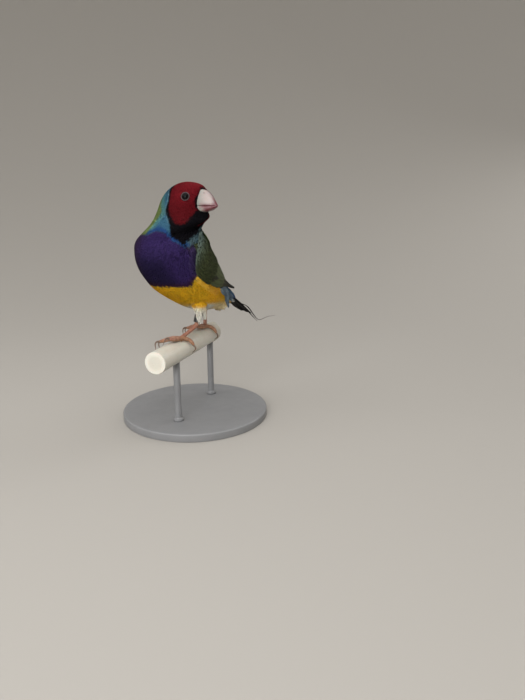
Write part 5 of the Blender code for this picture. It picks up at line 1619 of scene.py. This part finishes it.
shells = []
for word, spots in PINS.items():
    way = 1 if word == "left" else -1
    root = TAIL_ROOT + 5 * TAIL_BACK + way * 0.6 * TAIL_SIDE + 0.5 * TAIL_UP
    line = np.array([root + a * TAIL_BACK + h * TAIL_UP for a, h in spots])
    if word == "right":
        line = np.concatenate([line, HAIR])
    t = np.linspace(0, 1, 160)
    path = spline(line, t * (len(line) - 1))
    wide = np.interp(t, (0, 0.3, 0.55, 0.72, 1), (0.9, 0.8, 0.45, 0.16, 0.07))
    tall = np.interp(t, (0, 0.5, 1), (0.3, 0.2, 0.06))
    if word == "left":
        wide = np.interp(t, (0, 0.5, 0.8, 1), (0.9, 0.75, 0.4, 0.1))
    wide = wide * (1 + 0.06 * np.sin(t * 150 + way))
    shells.append(limb(path, np.tile(TAIL_UP, (160, 1)), tall, tall * 0.7, wide, 12))
pins = put("tail_pins", *joined(shells), tail_look)
paint(pins, "tint", np.zeros((len(pins.data.vertices), 3)) + TAIL_JET)
pins.data.uv_layers.new(name="vane")
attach(pins, "root")


COVERT_AT = (-3, 1, 5, 9, 12.5, 16, 30)  # places along the tail
COVERT_WIDE = (3.0, 3.4, 3.8, 3.6, 3.2, 3.1, 3.0)  # half-width of its root at them
COVERT_TALL = (2.0, 2.0, 2.2, 1.9, 1.6, 1.5, 1.5)  # and half its height
COVERTS = 460


def tail_side(p, q, height):
    """Round of the tail's root: p millimetres along it, q the angle round it from its left."""
    wide = np.interp(p, COVERT_AT, COVERT_WIDE)
    tall = np.interp(p, COVERT_AT, COVERT_TALL)
    middle = np.interp(p, (-3, 5, 12, 30), (0.0, 0.3, 0.2, -0.1))
    return tail_place((wide + height) * np.cos(q), p, middle + (tall + height) * np.sin(q))


first, second = sequence(COVERTS)
q = second * 2 * math.pi
p = -1.0 + (9.5 - 2.5 * np.sin(q)) * first
place, along, out = facing(tail_side, p, q)
blue = laid(COVERT_BLUE, COVERT_DARK, rise(3, 9, p) * draw.uniform(0.3, 1, COVERTS))
colour = laid(VENT_WHITE, blue, rise(-0.95, -0.8, np.sin(q)))
bake = np.stack([0.02 + 0.96 * second, 0.02 + 0.4 * first], -1)
coverts = cover(
    "tail_coverts", tail_side, (p, q), unit(along), out, (5.2, 2.2), colour, loose, bake, draw,
    (-0.3, 0.15), "full", 0.1,
)

# ------------------------------------------------------------------------------ floor, light and camera
# A pale studio cove whose flat floor sweeps up all round. Soft lamps light the bird from above, from
# the front, low under the belly and from both sides, and a small one puts the spark in its eye.
FLOOR_FLAT = 260.0  # radius of its flat part
FLOOR_GAP = 0.02  # how far it lies under the stand
COVE_RADIUS = 1100.0  # radius of the sweep
COVE_TOP = 1500.0  # height of the wall above it
COVE_AROUND = 128
CAMERA_AT = (227.8, -163.5, 66.2)
CAMERA_PITCH = 15.3  # degrees down
CAMERA_TURN = 47.0  # degrees from +Y towards -X
CAMERA_LENS = 28.34
SKY_COLOUR = (1.0, 0.98, 0.95, 1)
SKY_STRENGTH = 0.9
LAMPS_AIM = 0.08  # metres over the floor of the spot that they all light
LAMPS = {
    # degrees to the right of the camera and up, distance and size in metres, watts
    "top": (20, 80, 0.75, 0.7, 1.6),
    "front": (-10, 25, 0.6, 0.45, 2.3),
    "low_fill": (-15, 3, 0.5, 0.16, 0.4),
    "left_rim": (-70, 35, 0.7, 0.45, 1.2),
    "right_fill": (120, 30, 0.8, 0.5, 1.2),
    "spark": (8, 30, 0.6, 0.04, 0.25),
}

paper = Look("studio_paper", Base_Color=srgb(164, 160, 154), Roughness=0.9)
cove = [(0.0, share * FLOOR_FLAT) for share in (0.02, 0.2, 0.5, 0.8, 1.0)]
sweep = np.linspace(0.05, math.pi / 2, 24)
cove += [(COVE_RADIUS * (1 - math.cos(a)), FLOOR_FLAT + COVE_RADIUS * math.sin(a)) for a in sweep]
cove += [(COVE_TOP, FLOOR_FLAT + COVE_RADIUS)]
centre = -UP * (LIFT + FLOOR_GAP)
rings = turned(centre, UP, cove, COVE_AROUND)
j = np.arange(COVE_AROUND)
fan = np.stack([j, (j + 1) % COVE_AROUND, j * 0 + len(cove) * COVE_AROUND], -1)
points = np.concatenate([rings.reshape(-1, 3), [centre]])
floor = put("studio_floor", points, [ring_faces(len(cove), COVE_AROUND), fan], paper)

world = bpy.data.worlds.new("studio")
bpy.context.scene.world = world
world.use_nodes = True
world.node_tree.nodes["Background"].inputs["Color"].default_value = SKY_COLOUR
world.node_tree.nodes["Background"].inputs["Strength"].default_value = SKY_STRENGTH

for name, (azimuth, height, distance, size, power) in LAMPS.items():
    lamp = bpy.data.lights.new(name, "AREA")
    lamp.size = size
    lamp.energy = power
    holder = bpy.data.objects.new(name, lamp)
    holder.visible_camera = False
    a, h = math.radians(azimuth + CAMERA_TURN), math.radians(height)
    spot = np.array([math.sin(a) * math.cos(h), -math.cos(a) * math.cos(h), math.sin(h)]) * distance
    holder.location = spot + UP * LAMPS_AIM
    holder.rotation_euler = (math.pi / 2 - h, 0, a)
    bpy.context.scene.collection.objects.link(holder)

camera = bpy.data.cameras.new("camera")
camera.lens = CAMERA_LENS
camera.sensor_width = 36.0
camera.clip_start = 0.01
eye_point = bpy.data.objects.new("camera", camera)
eye_point.location = (np.array(CAMERA_AT) + (0, 0, LIFT)) * MM
eye_point.rotation_euler = (math.radians(90 - CAMERA_PITCH), 0, math.radians(CAMERA_TURN))
bpy.context.scene.collection.objects.link(eye_point)
bpy.context.scene.camera = eye_point
